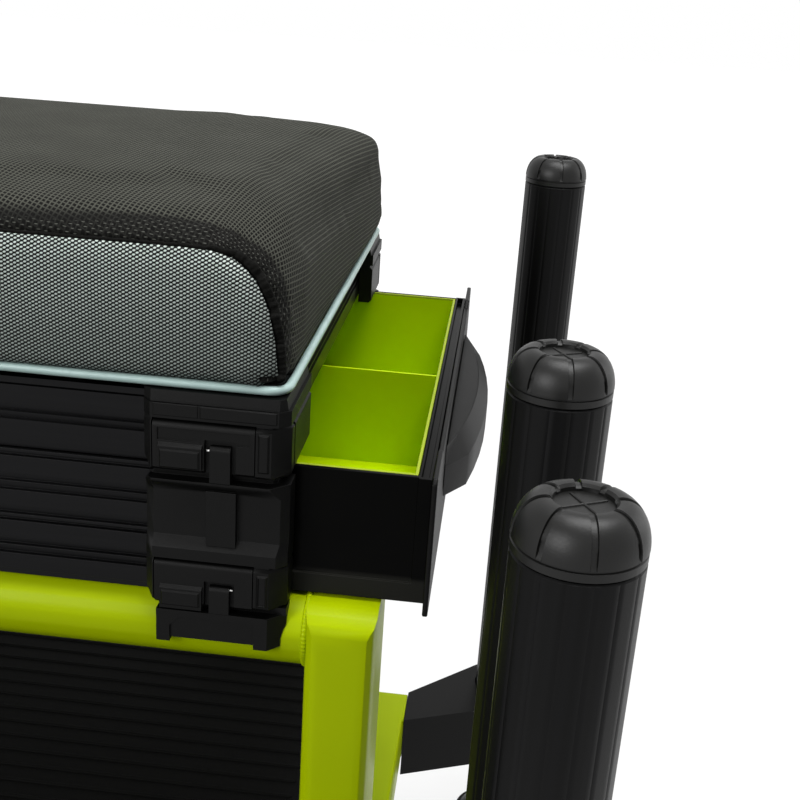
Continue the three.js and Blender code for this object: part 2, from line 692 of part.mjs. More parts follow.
// Cushion: a crowned pad whose sides pull in between its corners
function seatCushion() {
  const x = halfX - PIPING_SIDE_INSET;
  const y = halfY - PIPING_FRONT_INSET;
  const levels = CUSHION_RING_SHARES.map(([heightShare, insetShare, cornerShare]) => {
    const inset = insetShare * CUSHION_CROWN_INSET;
    const corner = PIPING_CORNER + cornerShare * (CUSHION_TOP_CORNER - PIPING_CORNER);
    const radius = Math.max(Math.min(corner, y - inset), PIPING_CORNER);
    const outline = roundedOutline(
      x - inset,
      y - inset,
      Math.min(radius, y - inset - GAP),
      CUSHION_CORNER_STEPS,
      CUSHION_EDGE_STEPS,
    );
    const swell = Math.sin(Math.PI * Math.min(1, heightShare / 0.8));
    const shaped = outline.map(([px, py]) => {
      const along = Math.abs(px) > x - inset - GAP ? py / y : px / x;
      const pull = CUSHION_DRAW * Math.cos((along * Math.PI) / 2) - CUSHION_BULGE;
      const grow = 1 - (pull * swell) / x;
      return [px * grow, py * grow];
    });
    return [cushionBase + heightShare * CUSHION_HEIGHT, shaped];
  });
  return loft(levels);
}

function seatPiping() {
  const x = halfX - PIPING_SIDE_INSET;
  const y = halfY - PIPING_FRONT_INSET;
  const radius = PIPING_DIAMETER / 2;
  return hoop(roundedOutline(x, y, PIPING_CORNER, 5), lidBase + radius, radius, 8);
}

// An open tray: outer box and wall sizes
function openTray(x0, x1, y, z0, z1, wall) {
  const inside = block(x0 + wall, x1 - wall, wall - y, y - wall, z0 + wall, z1 + OVERRUN);
  return block(x0, x1, -y, y, z0, z1).subtract(inside);
}

// Drawer, drawn shut; its group stands DRAWER_OPEN to the right
const drawerFront = halfX + PLATE_CLEARANCE;
const drawerBack = -(wallX - UNIT_WALL - GAP);
const drawerY = halfY - OPEN_SIDE_WRAP - DRAWER_SIDE_CLEARANCE;
const drawerBase = drawerUnitBase + DRAWER_FLOOR + GAP;
const drawerTop = drawerUnitTop - GAP;

function drawerTray() {
  const shell = block(drawerBack, drawerFront - GAP, -drawerY, drawerY, drawerBase, drawerTop);
  const frontInside = drawerFront - GAP - FRONT_WALL;
  const hollow = block(
    drawerBack + DRAWER_WALL,
    frontInside,
    DRAWER_WALL + DRAWER_RAIL_STEP - drawerY,
    drawerY - DRAWER_WALL - DRAWER_RAIL_STEP,
    drawerBase + DRAWER_WALL,
    drawerTop + OVERRUN,
  );
  const grooveX = frontInside + FRONT_GROOVE_START;
  const grooveEnd = grooveX + FRONT_GROOVE_WIDTH;
  const grooveBase = drawerTop - FRONT_GROOVE_DEPTH;
  const grooveY = drawerY - DRAWER_WALL;
  const groove = block(grooveX, grooveEnd, -grooveY, grooveY, grooveBase, drawerTop + OVERRUN);
  let tray = shell.subtract(hollow).subtract(groove);
  for (const side of [-1, 1]) {
    const outer = side * (drawerY + OVERRUN);
    const inner = side * (drawerY - DRAWER_RAIL_STEP);
    const above = block(
      drawerBack - OVERRUN,
      frontInside,
      Math.min(outer, inner),
      Math.max(outer, inner),
      drawerBase + DRAWER_RAIL_HEIGHT,
      drawerTop + OVERRUN,
    );
    tray = tray.subtract(above);
  }
  return tray;
}

function drawerLiner() {
  const x0 = drawerBack + DRAWER_WALL + GAP;
  const x1 = drawerFront - GAP - FRONT_WALL - GAP;
  const y = drawerY - DRAWER_WALL - DRAWER_RAIL_STEP - GAP;
  const base = drawerBase + DRAWER_WALL + GAP;
  const liner = openTray(x0, x1, y, base, drawerTop, LINER_WALL);
  const middle = -y + DIVIDER_SHARE * 2 * y;
  const divider = block(
    x0 + LINER_WALL / 2,
    x1 - LINER_WALL / 2,
    middle - LINER_WALL / 2,
    middle + LINER_WALL / 2,
    base + LINER_WALL / 2,
    drawerTop - DIVIDER_DROP,
  );
  return liner.add(divider);
}

function drawerFrontPlate() {
  const y = PLATE_LENGTH / 2;
  const foot = drawerUnitBase + PLATE_RISE;
  const rim = drawerTop + PLATE_RIM;
  const earStart = y - EAR_LENGTH;
  const earTop = rim + EAR_RISE;
  const half = [
    [y, foot],
    [y, earTop - EAR_CHAMFER],
    [y - EAR_CHAMFER, earTop],
    [earStart + EAR_CHAMFER, earTop],
    [earStart - EAR_CHAMFER, rim],
  ];
  const outline = [...half, ...half.map(([a, b]) => [-a, b]).reverse()];
  return prism(outline, "x", drawerFront, drawerFront + PLATE_THICK);
}

// Handle: a bowed hood with a sloping lip round its flat top, open below for the fingers
function drawerHandle() {
  const x0 = drawerFront + PLATE_THICK + GAP;
  const top = drawerTop + PLATE_RIM - HANDLE_DROP;
  const brow = top - HANDLE_LIP_HEIGHT;
  const foot = top - HANDLE_HEIGHT;
  const bow = (inset, back, end) => {
    const span = HANDLE_LENGTH / 2 - HANDLE_END_FACET - inset;
    const points = [[back, -end]];
    for (let i = 0; i <= HANDLE_STEPS; i += 1) {
      const along = (2 * i) / HANDLE_STEPS - 1;
      const rise = (HANDLE_REACH - HANDLE_END_REACH) * (1 - along * along);
      points.push([x0 + HANDLE_END_REACH - inset + rise, along * span]);
    }
    return [...points, [back, end]];
  };
  const half = HANDLE_LENGTH / 2;
  const body = bow(0, x0, half);
  const hood = loft([[foot, body], [brow, body], [top, bow(HANDLE_LIP, x0, half - HANDLE_WALL)]]);
  const span = half - HANDLE_END_FACET - HANDLE_WALL;
  const grip = prism(bow(HANDLE_WALL, x0 - OVERRUN, span), "z", foot - OVERRUN, brow);
  return hood.subtract(grip);
}

// Drawer unit: walls open to the right, and the sheet that the drawer slides on
function drawerUnitWalls() {
  const band = ribbedBand(drawerUnitBase, drawerUnitTop, DRAWER_UNIT_MODULES, DRAWER_MODULE_SHARES);
  const mouth = block(
    wallX - UNIT_WALL - OVERRUN,
    halfX,
    UNIT_WALL - wallY,
    wallY - UNIT_WALL,
    drawerUnitBase - OVERRUN,
    drawerUnitTop + OVERRUN,
  );
  return band.subtract(mouth);
}

function drawerUnitFloor() {
  const x = wallX - UNIT_WALL - GAP;
  const y = wallY - UNIT_WALL - GAP;
  return block(-x, wallX, -y, y, drawerUnitBase, drawerUnitBase + DRAWER_FLOOR);
}

// Upper ring: round rails, front posts outside the footplate and rear posts behind it
function frameUpperRing() {
  const radius = RAIL_DIAMETER / 2;
  const sideX = halfX - SIDE_RAIL_INSET;
  const parts = [
    rod(radius, "x", -postInner - JOIN, postInner + JOIN, -railY, railZ),
    rod(radius, "x", -postInner, postInner, railY, railZ),
  ];
  const crownOutline = [[-postFront, lowerRingTop], [OVERRUN - postRear, lowerRingTop]];
  crownOutline.push([OVERRUN - postRear, frameTop]);
  for (let i = 0; i <= POST_TOP_STEPS; i += 1) {
    const turn = (i / POST_TOP_STEPS) * (Math.PI / 2);
    const [away, drop] = [1 - Math.sin(turn), 1 - Math.cos(turn)].map((share) => share * POST_TOP_ROUND);
    crownOutline.push([away - postFront, frameTop - drop]);
  }
  for (const side of [-1, 1]) {
    parts.push(rod(SIDE_RAIL_DIAMETER / 2, "y", -railY, railY, side * sideX, railZ));
    const post = roundedOutline(POST_WIDTH / 2, POST_DEPTH / 2, POST_ROUND, 3);
    const frontX = side * (postInner + POST_WIDTH / 2);
    const frontY = -(postFront - POST_DEPTH / 2);
    const placed = post.map(([x, y]) => [x + frontX, y + frontY]);
    const inner = Math.min(side * postInner, side * postOuter) - OVERRUN;
    const crown = prism(crownOutline, "x", inner, inner + POST_WIDTH + 2 * OVERRUN);
    parts.push(prism(placed, "z", lowerRingTop + GAP, frameTop).intersect(crown));
    const rear = roundedOutline(POST_WIDTH / 2, POST_WIDTH / 2, POST_ROUND, 3);
    const rearAt = rear.map(([x, y]) => [x + side * REAR_POST_OFFSET, y + railY]);
    parts.push(prism(rearAt, "z", lowerRingTop + GAP, railZ));
  }
  return join(...parts);
}

// Lower ring: four tubes and the two tracks that carry the footplate's slides
function frameLowerRing() {
  const half = RAIL_DIAMETER / 2;
  const z = RING_BASE + half;
  const section = roundedOutline(half, half, LOWER_RAIL_ROUND, 2);
  const parts = [];
  for (const side of [-1, 1]) {
    const crossAt = section.map(([y, dz]) => [y + side * railY, dz + z]);
    parts.push(prism(crossAt, "x", -postOuter, postOuter));
    const sideAt = section.map(([x, dz]) => [x + side * (postOuter - half), dz + z]);
    parts.push(prism(sideAt, "y", -railY, railY));
    const top = slideTop + GAP + TRACK_WALL;
    const track = [
      [trackOuter - TRACK_WALL - SLIDE_WIDTH - GAP, lowerRingTop - JOIN],
      [trackOuter, lowerRingTop - JOIN],
      [trackOuter, top],
      [trackOuter - TRACK_FLANGE, top],
      [trackOuter - TRACK_FLANGE, top - TRACK_WALL],
      [trackOuter - TRACK_WALL, top - TRACK_WALL],
      [trackOuter - TRACK_WALL, lowerRingTop + TRACK_WALL],
      [trackOuter - TRACK_WALL - SLIDE_WIDTH - GAP, lowerRingTop + TRACK_WALL],
    ];
    const sided = track.map(([x, dz]) => [side * x, dz]);
    parts.push(prism(side < 0 ? sided.reverse() : sided, "y", -halfY, railY - POST_DEPTH / 2));
  }
  return join(...parts);
}

function footplateSlideFrame() {
  const barRear = -FOOTPLATE_LEG_Y + CROSSBAR_DEPTH / 2;
  const barX = FOOTPLATE_LEG_X - BLOCK_RADIUS - OVERRUN - GAP;
  const bar = block(-barX, barX, barRear - CROSSBAR_DEPTH, barRear, slideBase, slideTop);
  const right = block(slideInner, slideOuter, barRear - JOIN, SLIDE_BACK, slideBase, slideTop);
  const left = block(-slideOuter, -slideInner, barRear - JOIN, SLIDE_BACK, slideBase, slideTop);
  return join(bar, right, left);
}

// Deck: a plate on two webs that stand on the slides
function footplateDeck() {
  const front = -FOOTPLATE_LEG_Y + CROSSBAR_DEPTH / 2 + DECK_FRONT_GAP;
  const x = slideOuter - DECK_OVERHANG;
  const plate = block(-x, x, front, DECK_BACK, deckTop - DECK_THICK, deckTop);
  const webs = [-1, 1].map((side) => {
    const outer = side * (x - DECK_WEB_INSET);
    const inner = side * (x - DECK_WEB_INSET - DECK_WEB);
    const [a, b] = [Math.min(outer, inner), Math.max(outer, inner)];
    return block(a, b, front, SLIDE_BACK, slideTop + GAP, deckTop - DECK_THICK / 2);
  });
  return join(plate, ...webs);
}

// A leg about its own axis, from the ground up: foot, stem and open tube
function legTube(stand) {
  const inner = legRadius - LEG_WALL;
  const top = stand + TUBE_LENGTH - GAP;
  const profile = [
    [0, 0],
    [FOOT_RADIUS, 0],
    [FOOT_RADIUS, FOOT_RIM],
    [FOOT_BALL, FOOT_RIM + FOOT_DOME],
    [FOOT_STEM, FOOT_RIM + FOOT_DOME + FOOT_STEM / 2],
    [FOOT_STEM, stand],
    [legRadius, stand],
    [legRadius, top],
    [inner, top],
    [inner, stand + LEG_WALL],
    [0, stand + LEG_WALL],
  ];
  return turned(profile);
}

// A profile of [radius, z] turned about the Z axis
function turned(profile) {
  const points = profile.map(([r, z]) => new THREE.Vector2(r, z));
  const made = new THREE.LatheGeometry(points, LEG_SIDES, Math.PI / LEG_SIDES);
  made.rotateX(Math.PI / 2);
  return solidOf(made);
}

// A cap about the leg's axis, from the seam up: domed, with a sunk disc and a spigot in the tube
function legCap() {
  const spigot = legRadius - LEG_WALL - GAP;
  const profile = [
    [0, -CAP_SPIGOT],
    [spigot, -CAP_SPIGOT],
    [spigot, 0],
    [legRadius, 0],
  ];
  for (let i = 0; i <= CAP_DOME_STEPS; i += 1) {
    const turn = ((i / CAP_DOME_STEPS) * Math.PI) / 2;
    const radius = CAP_RIM_RADIUS + (legRadius - CAP_RIM_RADIUS) * Math.cos(turn);
    profile.push([radius, CAP_SKIRT + (CAP_HEIGHT - CAP_SKIRT) * Math.sin(turn)]);
  }
  profile.push([CAP_DISC_RADIUS, CAP_HEIGHT]);
  profile.push([CAP_DISC_RADIUS - CAP_DISC_DEPTH / 2, CAP_HEIGHT - CAP_DISC_DEPTH]);
  profile.push([0, CAP_HEIGHT - CAP_DISC_DEPTH]);
  return turned(profile);
}

// A clamp block round a leg at the origin: its arm meets the end of a bar between two points
function legBlock(nearPoint, farPoint, base, height) {
  const tangentTurn = ([x, y], side) => {
    const distance = Math.hypot(x, y);
    const towards = Math.atan2(-y, -x);
    return towards + side * (Math.asin(BLOCK_RADIUS / distance) + Math.PI / 2);
  };
  const from = tangentTurn(nearPoint, -1);
  let to = tangentTurn(farPoint, 1);
  while (to < from) to += 2 * Math.PI;
  const outline = [nearPoint];
  for (let i = 0; i <= BLOCK_ARC_STEPS * 2; i += 1) {
    const turn = from + ((to - from) * i) / (BLOCK_ARC_STEPS * 2);
    outline.push([BLOCK_RADIUS * Math.cos(turn), BLOCK_RADIUS * Math.sin(turn)]);
  }
  outline.push(farPoint);
  const body = prism(outline, "z", base, base + height);
  const legHole = bore(legRadius + GAP, "z", base - OVERRUN, base + height + OVERRUN, 0, 0);
  const middle = base + height / 2;
  const stemEnd = BLOCK_RADIUS - KNOB_STEM_LENGTH - GAP;
  const stemHole = bore(KNOB_STEM + GAP, "y", stemEnd, BLOCK_RADIUS + OVERRUN, 0, middle, 12);
  const spot = 2 * KNOB_STEM;
  const flat = block(-spot, spot, BLOCK_RADIUS - GAP, BLOCK_RADIUS + OVERRUN, base, base + height);
  return body.subtract(legHole).subtract(flat).subtract(stemHole);
}

// A lobed knob with its stem, along +Y from the face that it stands on
function clampKnob() {
  const points = [];
  const steps = KNOB_LOBES * 4;
  for (let i = 0; i < steps; i += 1) {
    const turn = (i / steps) * 2 * Math.PI;
    const radius = KNOB_RADIUS - (KNOB_LOBE_DEPTH * (1 - Math.cos(KNOB_LOBES * turn))) / 2;
    points.push([radius * Math.cos(turn), radius * Math.sin(turn)]);
  }
  const head = prism(points, "y", GAP, GAP + KNOB_THICK);
  const stem = rod(KNOB_STEM, "y", -KNOB_STEM_LENGTH, GAP + JOIN, 0, 0, 12);
  return head.add(stem);
}

// Assembly: the box's middle lies at the origin of seatBox, which is moved to centre the whole
const seatBox = new THREE.Group();
seatBox.position.y = (frontReach - rearReach) / 2;

addPiece(seatBox, "frame_upper_ring", frameUpperRing(), LIME_ENAMEL);
addPiece(seatBox, "frame_lower_ring", frameLowerRing(), LIME_ENAMEL);
addPiece(seatBox, "drawer_unit_walls", drawerUnitWalls(), BLACK_ALUMINIUM);
addPiece(seatBox, "drawer_unit_floor", drawerUnitFloor(), BLACK_ALUMINIUM);
addPiece(seatBox, "seat_unit_walls", seatUnitWalls(), BLACK_ALUMINIUM);

const trayX = wallX - UNIT_WALL - GAP;
const trayY = wallY - UNIT_WALL - GAP;
const seatTrayTop = seatWallTop - SEAT_TRAY_DROP;
const seatTray = openTray(-trayX, trayX, trayY, seatUnitBase + GAP, seatTrayTop, TRAY_WALL);
addPiece(seatBox, "seat_tray", seatTray, TRAY_PLASTIC);

// Corner castings, latches and brackets, each a mirror of the one that points to +x and +y
for (const [name, sx, sy] of CORNERS) {
  const corner = new THREE.Group();
  corner.scale.set(sx, sy, 1);
  seatBox.add(corner);
  const wrap = sx > 0 ? OPEN_SIDE_WRAP : COVER_WRAP;
  addPiece(corner, "seat_unit_corner_" + name, seatUnitCover(), BLACK_CASTING);
  addPiece(corner, "drawer_unit_corner_" + name, drawerUnitCover(wrap), BLACK_CASTING);
  addPiece(corner, "box_bracket_" + name, boxBracket(), BLACK_CASTING);
  const upper = latch(UPPER_LATCH_HEIGHT, UPPER_PAD_RISE, UPPER_HOOK_HEIGHT, LEDGE_DROP, true);
  const hookDrop = LEDGE_DROP - LOWER_LATCH_OVERHANG;
  const lower = latch(LOWER_LATCH_HEIGHT, LOWER_PAD_RISE, LOWER_HOOK_HEIGHT, hookDrop, false);
  const latches = [
    ["upper_latch_", upper, seatUnitBase + UPPER_LATCH_HEIGHT],
    ["lower_latch_", lower, drawerUnitBase + LOWER_LATCH_HEIGHT - LOWER_LATCH_OVERHANG],
  ];
  for (const [kind, solid, top] of latches) {
    const mesh = addPiece(corner, kind + name, solid, BLACK_CASTING);
    const pinZ = top + GAP - LATCH_THICK / 2;
    mesh.position.set(coverStart + LATCH_START, halfY - LATCH_THICK / 2, pinZ);
  }
}

// Lid
addPiece(seatBox, "seat_board", seatBoard(), BLACK_CASTING);
addPiece(seatBox, "seat_piping", seatPiping(), PIPING_VINYL);
addPiece(seatBox, "seat_cushion", seatCushion(), CUSHION_FABRIC);
const pinEnd = hingeBoxX + HINGE_KNUCKLE / 2;
const hingePin = rod(HINGE_PIN, "x", -pinEnd, pinEnd, hingeY, hingeZ, 12);
addPiece(seatBox, "lid_hinge_pin", hingePin, STEEL);

// Drawer
const drawer = new THREE.Group();
drawer.position.x = DRAWER_OPEN;
seatBox.add(drawer);
addPiece(drawer, "drawer_tray", drawerTray(), BLACK_CASTING);
addPiece(drawer, "drawer_liner", drawerLiner(), LIME_PLASTIC);
addPiece(drawer, "drawer_front_plate", drawerFrontPlate(), BLACK_CASTING);
addPiece(drawer, "drawer_handle", drawerHandle(), BLACK_CASTING);

// Footplate
addPiece(seatBox, "footplate_slide_frame", footplateSlideFrame(), BLACK_ALUMINIUM);
addPiece(seatBox, "footplate_deck", footplateDeck(), BLACK_ALUMINIUM);

// Legs, blocks and knobs, each group standing at its leg's axis and mirrored to its side
const barRearReach = railY + RAIL_DIAMETER / 2;
const barFrontReach = railY - RAIL_DIAMETER / 2;
const LEG_PAIRS = [
  ["front", FRONT_LEG_X, -LEG_Y, FRONT_LEG_STAND],
  ["rear", REAR_LEG_X, LEG_Y, REAR_LEG_STAND],
  ["footplate", FOOTPLATE_LEG_X, -FOOTPLATE_LEG_Y, FOOTPLATE_LEG_STAND],
];
for (const [pair, legX, legY, stand] of LEG_PAIRS) {
  const onFootplate = pair === "footplate";
  const base = onFootplate ? FOOTPLATE_BLOCK_BASE : BLOCK_BASE;
  const height = onFootplate ? FOOTPLATE_BLOCK_HEIGHT : BLOCK_HEIGHT;
  for (const [side, sx] of [["right", 1], ["left", -1]]) {
    const station = new THREE.Group();
    station.position.set(sx * legX, legY, 0);
    station.scale.set(sx, Math.sign(legY), 1);
    seatBox.add(station);
    const name = pair + "_" + side;
    addPiece(station, "leg_tube_" + name, legTube(stand), BLACK_ALUMINIUM);
    const cap = addPiece(station, "leg_cap_" + name, legCap(), BLACK_CASTING);
    cap.position.z = stand + TUBE_LENGTH;
    const armX = onFootplate ? -BLOCK_RADIUS - OVERRUN : postOuter + GAP - legX;
    const nearY = onFootplate ? -CROSSBAR_DEPTH / 2 : barFrontReach - LEG_Y;
    const farY = onFootplate ? CROSSBAR_DEPTH / 2 : barRearReach - LEG_Y;
    const made = legBlock([armX, nearY], [armX, farY], base, height);
    addPiece(station, "leg_block_" + name, made, BLACK_CASTING);
    const knob = addPiece(station, "clamp_knob_" + name, clampKnob(), BLACK_CASTING);
    knob.position.set(0, BLOCK_RADIUS - GAP, base + height / 2);
  }
}

const part = new THREE.Group();
part.add(seatBox);
export default part;
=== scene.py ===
import json
import math
from collections import namedtuple

import bmesh
import bpy
import numpy as np
from mathutils import Matrix, Vector
from mathutils.bvhtree import BVHTree

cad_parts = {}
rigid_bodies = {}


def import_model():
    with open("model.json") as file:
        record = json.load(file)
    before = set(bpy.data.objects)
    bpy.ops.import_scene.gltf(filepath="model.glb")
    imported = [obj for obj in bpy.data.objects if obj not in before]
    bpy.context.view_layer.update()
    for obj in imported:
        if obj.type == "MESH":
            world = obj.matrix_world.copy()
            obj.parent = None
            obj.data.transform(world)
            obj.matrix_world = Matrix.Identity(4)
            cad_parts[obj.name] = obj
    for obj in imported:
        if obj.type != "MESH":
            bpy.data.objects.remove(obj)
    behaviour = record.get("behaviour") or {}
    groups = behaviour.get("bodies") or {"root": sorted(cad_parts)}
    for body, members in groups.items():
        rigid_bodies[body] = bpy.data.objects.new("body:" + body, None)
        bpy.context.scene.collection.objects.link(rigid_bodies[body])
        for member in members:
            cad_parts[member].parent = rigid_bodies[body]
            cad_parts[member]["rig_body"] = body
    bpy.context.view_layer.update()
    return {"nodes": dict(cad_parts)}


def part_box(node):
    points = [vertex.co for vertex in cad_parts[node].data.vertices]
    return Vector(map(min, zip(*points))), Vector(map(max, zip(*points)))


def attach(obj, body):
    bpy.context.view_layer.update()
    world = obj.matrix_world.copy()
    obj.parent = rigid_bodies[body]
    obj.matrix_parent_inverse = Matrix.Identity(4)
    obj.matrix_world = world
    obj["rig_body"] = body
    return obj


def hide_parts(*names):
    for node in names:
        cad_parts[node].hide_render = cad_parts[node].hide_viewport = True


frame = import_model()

bl_info = {
    "name": "Seat box dressing",
    "version": (1, 0, 0),
    "blender": (4, 5, 0),
    "location": "3D View > Sidebar > Seat box",
    "description": "Gives the seat box its padded cushion, rounded castings, fluted legs and finishes",
    "category": "Object",
}

MM = 0.001
NODES = frame["nodes"]
CORNERS = ("front_right", "front_left", "rear_right", "rear_left")
LEGS = CORNERS + ("footplate_right", "footplate_left")

# Places that several pieces share, from the frame
CUSHION_LOW, CUSHION_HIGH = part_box("seat_cushion")
PIPING_LOW, PIPING_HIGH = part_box("seat_piping")
BOX_MIDDLE_Y = (PIPING_LOW.y + PIPING_HIGH.y) / 2

# Front panel's seam from its middle to its right foot: across and up from the cushion's base, in millimetres
SEAM_POINTS = (
    (0.0, 48.6), (60.0, 48.8), (119.5, 49.0), (148.0, 49.2), (158.0, 48.8), (166.0, 47.0),
    (172.0, 42.8), (176.4, 36.4), (179.8, 28.4), (182.0, 18.0), (183.2, 9.0), (183.8, 0.6),
)


class FinishSettings(bpy.types.PropertyGroup):
    """Colours of the box's finishes, as sRGB hex values, and how far its moulded edges are rounded."""

    casting_hex: bpy.props.StringProperty(
        name="Casting", description="Colour of the moulded black pieces", default="090908")
    anodised_hex: bpy.props.StringProperty(
        name="Anodised", description="Colour of the black anodised extrusions", default="151516")
    lime_enamel_hex: bpy.props.StringProperty(
        name="Lime enamel", description="Colour of the powder-coated frame", default="AABF00")
    lime_plastic_hex: bpy.props.StringProperty(
        name="Lime plastic", description="Colour of the drawer's liner", default="BEDC00")
    piping_hex: bpy.props.StringProperty(
        name="Piping", description="Colour of the vinyl piping", default="AFC8C4")
    casting_edge: bpy.props.FloatProperty(
        name="Casting edge", description="Width of the rounding on moulded edges",
        default=0.6 * MM, min=0.05 * MM, max=2 * MM, precision=5, unit="LENGTH")
    sheet_edge: bpy.props.FloatProperty(
        name="Sheet edge", description="Width of the rounding on extruded and sheet edges",
        default=0.25 * MM, min=0.05 * MM, max=1 * MM, precision=5, unit="LENGTH")


class CushionSettings(bpy.types.PropertyGroup):
    """Sizes and colours of the padded seat."""

    voxel: bpy.props.FloatProperty(
        name="Cloth mesh", description="Edge length of the mesh that the cloth is simulated on",
        default=4 * MM, min=3 * MM, max=10 * MM, precision=4, unit="LENGTH")
    shrink: bpy.props.FloatProperty(
        name="Start inset", description="How much smaller the pad starts before it swells",
        default=0.9 * MM, min=0, max=6 * MM, precision=4, unit="LENGTH")
    swell: bpy.props.FloatProperty(
        name="Most swell", description="How far a point of the pad may move as it swells",
        default=1.6 * MM, min=0, max=10 * MM, precision=4, unit="LENGTH")
    pressure: bpy.props.FloatProperty(
        name="Pressure", description="Pressure that swells the pad", default=4, min=0, max=20)
    seam_depth: bpy.props.FloatProperty(
        name="Seam depth", description="How deep the front seam pulls the pad in",
        default=1.6 * MM, min=0, max=4 * MM, precision=4, unit="LENGTH")
    pucker: bpy.props.FloatProperty(
        name="Pucker", description="Height of the gathers beside the front seam",
        default=0.5 * MM, min=0, max=2 * MM, precision=4, unit="LENGTH")
    binding_radius: bpy.props.FloatProperty(
        name="Binding radius", description="Half the thickness of the folded edge at the seam",
        default=1.2 * MM, min=0.5 * MM, max=3 * MM, precision=4, unit="LENGTH")
    mesh_thread_hex: bpy.props.StringProperty(
        name="Top thread", description="Colour of the top cloth's threads", default="4C4D46")
    mesh_gap_hex: bpy.props.StringProperty(
        name="Top ground", description="Colour between the top cloth's threads", default="070706")
    panel_thread_hex: bpy.props.StringProperty(
        name="Panel thread", description="Colour of the end panels' knots", default="CED7D2")
    panel_gap_hex: bpy.props.StringProperty(
        name="Panel ground", description="Colour between the end panels' knots", default="0E100E")


class LegSettings(bpy.types.PropertyGroup):
    """Sizes of the fluted legs and their caps."""

    flutes: bpy.props.IntProperty(
        name="Flutes", description="Flats round a leg tube", default=16, min=6, max=40)
    groove_depth: bpy.props.FloatProperty(
        name="Groove depth", description="Depth of the groove between two flats",
        default=0.35 * MM, min=0, max=1 * MM, precision=5, unit="LENGTH")
    cap_slots: bpy.props.IntProperty(
        name="Cap slots", description="Slots that run down a leg cap's dome", default=8, min=3, max=16)
    cap_slot_width: bpy.props.FloatProperty(
        name="Slot width", description="Width of a slot in the cap's dome",
        default=1.5 * MM, min=0.5 * MM, max=4 * MM, precision=4, unit="LENGTH")
    cap_slot_depth: bpy.props.FloatProperty(
        name="Slot depth", description="Depth of a slot in the cap's dome",
        default=0.8 * MM, min=0.1 * MM, max=2 * MM, precision=4, unit="LENGTH")


class StageSettings(bpy.types.PropertyGroup):
    """Levels of the studio light."""

    key_power: bpy.props.FloatProperty(
        name="Key", description="Power of the large lamp above", default=40, min=0, subtype="POWER")
    fill_power: bpy.props.FloatProperty(
        name="Fill", description="Power of the lamp at the front left", default=32, min=0, subtype="POWER")
    rim_power: bpy.props.FloatProperty(
        name="Rim", description="Power of the lamp behind", default=3, min=0, subtype="POWER")
    ambient: bpy.props.FloatProperty(
        name="Ambient", description="Level of the light from all round", default=0.45, min=0, max=2)


# Nodes and materials

# Sockets of a colour Mix node: the second colour's share, the first and second colour, and the mixed one
MIX_SHARE, MIX_FIRST, MIX_SECOND, MIXED = 0, 6, 7, 2

# A grain of noise: its size in millimetres, for all axes or for each, its detail and its roughness
Grain = namedtuple("Grain", "size detail roughness", defaults=(0.5,))


def linear(code):
    """An sRGB hex value as the linear colour that a shader takes."""
    parts = [int(code[i:i + 2], 16) / 255 for i in (0, 2, 4)]
    return [c / 12.92 if c <= 0.04045 else ((c + 0.055) / 1.055) ** 2.4 for c in parts] + [1]


def add_node(tree, kind, inputs, output=0, **settings):
    """Adds a node with its settings and gives one output; an input is a value or a socket to link."""
    node = tree.nodes.new("ShaderNode" + kind)
    for name, value in settings.items():
        setattr(node, name, value)
    for name, value in inputs.items():
        if isinstance(value, bpy.types.NodeSocket):
            tree.links.new(value, node.inputs[name])
        else:
            node.inputs[name].default_value = value
    return node.outputs[output] if node.outputs else None


def start_material(name):
    """A new material without nodes, its tree, and the places on its piece in metres."""
    material = bpy.data.materials.new(name)
    material.use_nodes = True
    tree = material.node_tree
    tree.nodes.clear()
    return material, tree, add_node(tree, "TexCoord", {}, "Object")


def end_material(material, sockets):
    """Gives a material its Principled shader, each of whose sockets gets a plain value or a link."""
    tree = material.node_tree
    shader = add_node(tree, "BsdfPrincipled", sockets)
    add_node(tree, "OutputMaterial", {"Surface": shader})
    return material


def layered(tree, base, *layers):
    """A base colour with others laid over it, each by a share. A colour is a hex value or a socket."""
    colour = base
    for share, over in layers:
        first, second = (linear(c) if isinstance(c, str) else c for c in (colour, over))
        colour = add_node(
            tree, "Mix", {MIX_SHARE: share, MIX_FIRST: first, MIX_SECOND: second}, MIXED, data_type="RGBA")
    return colour


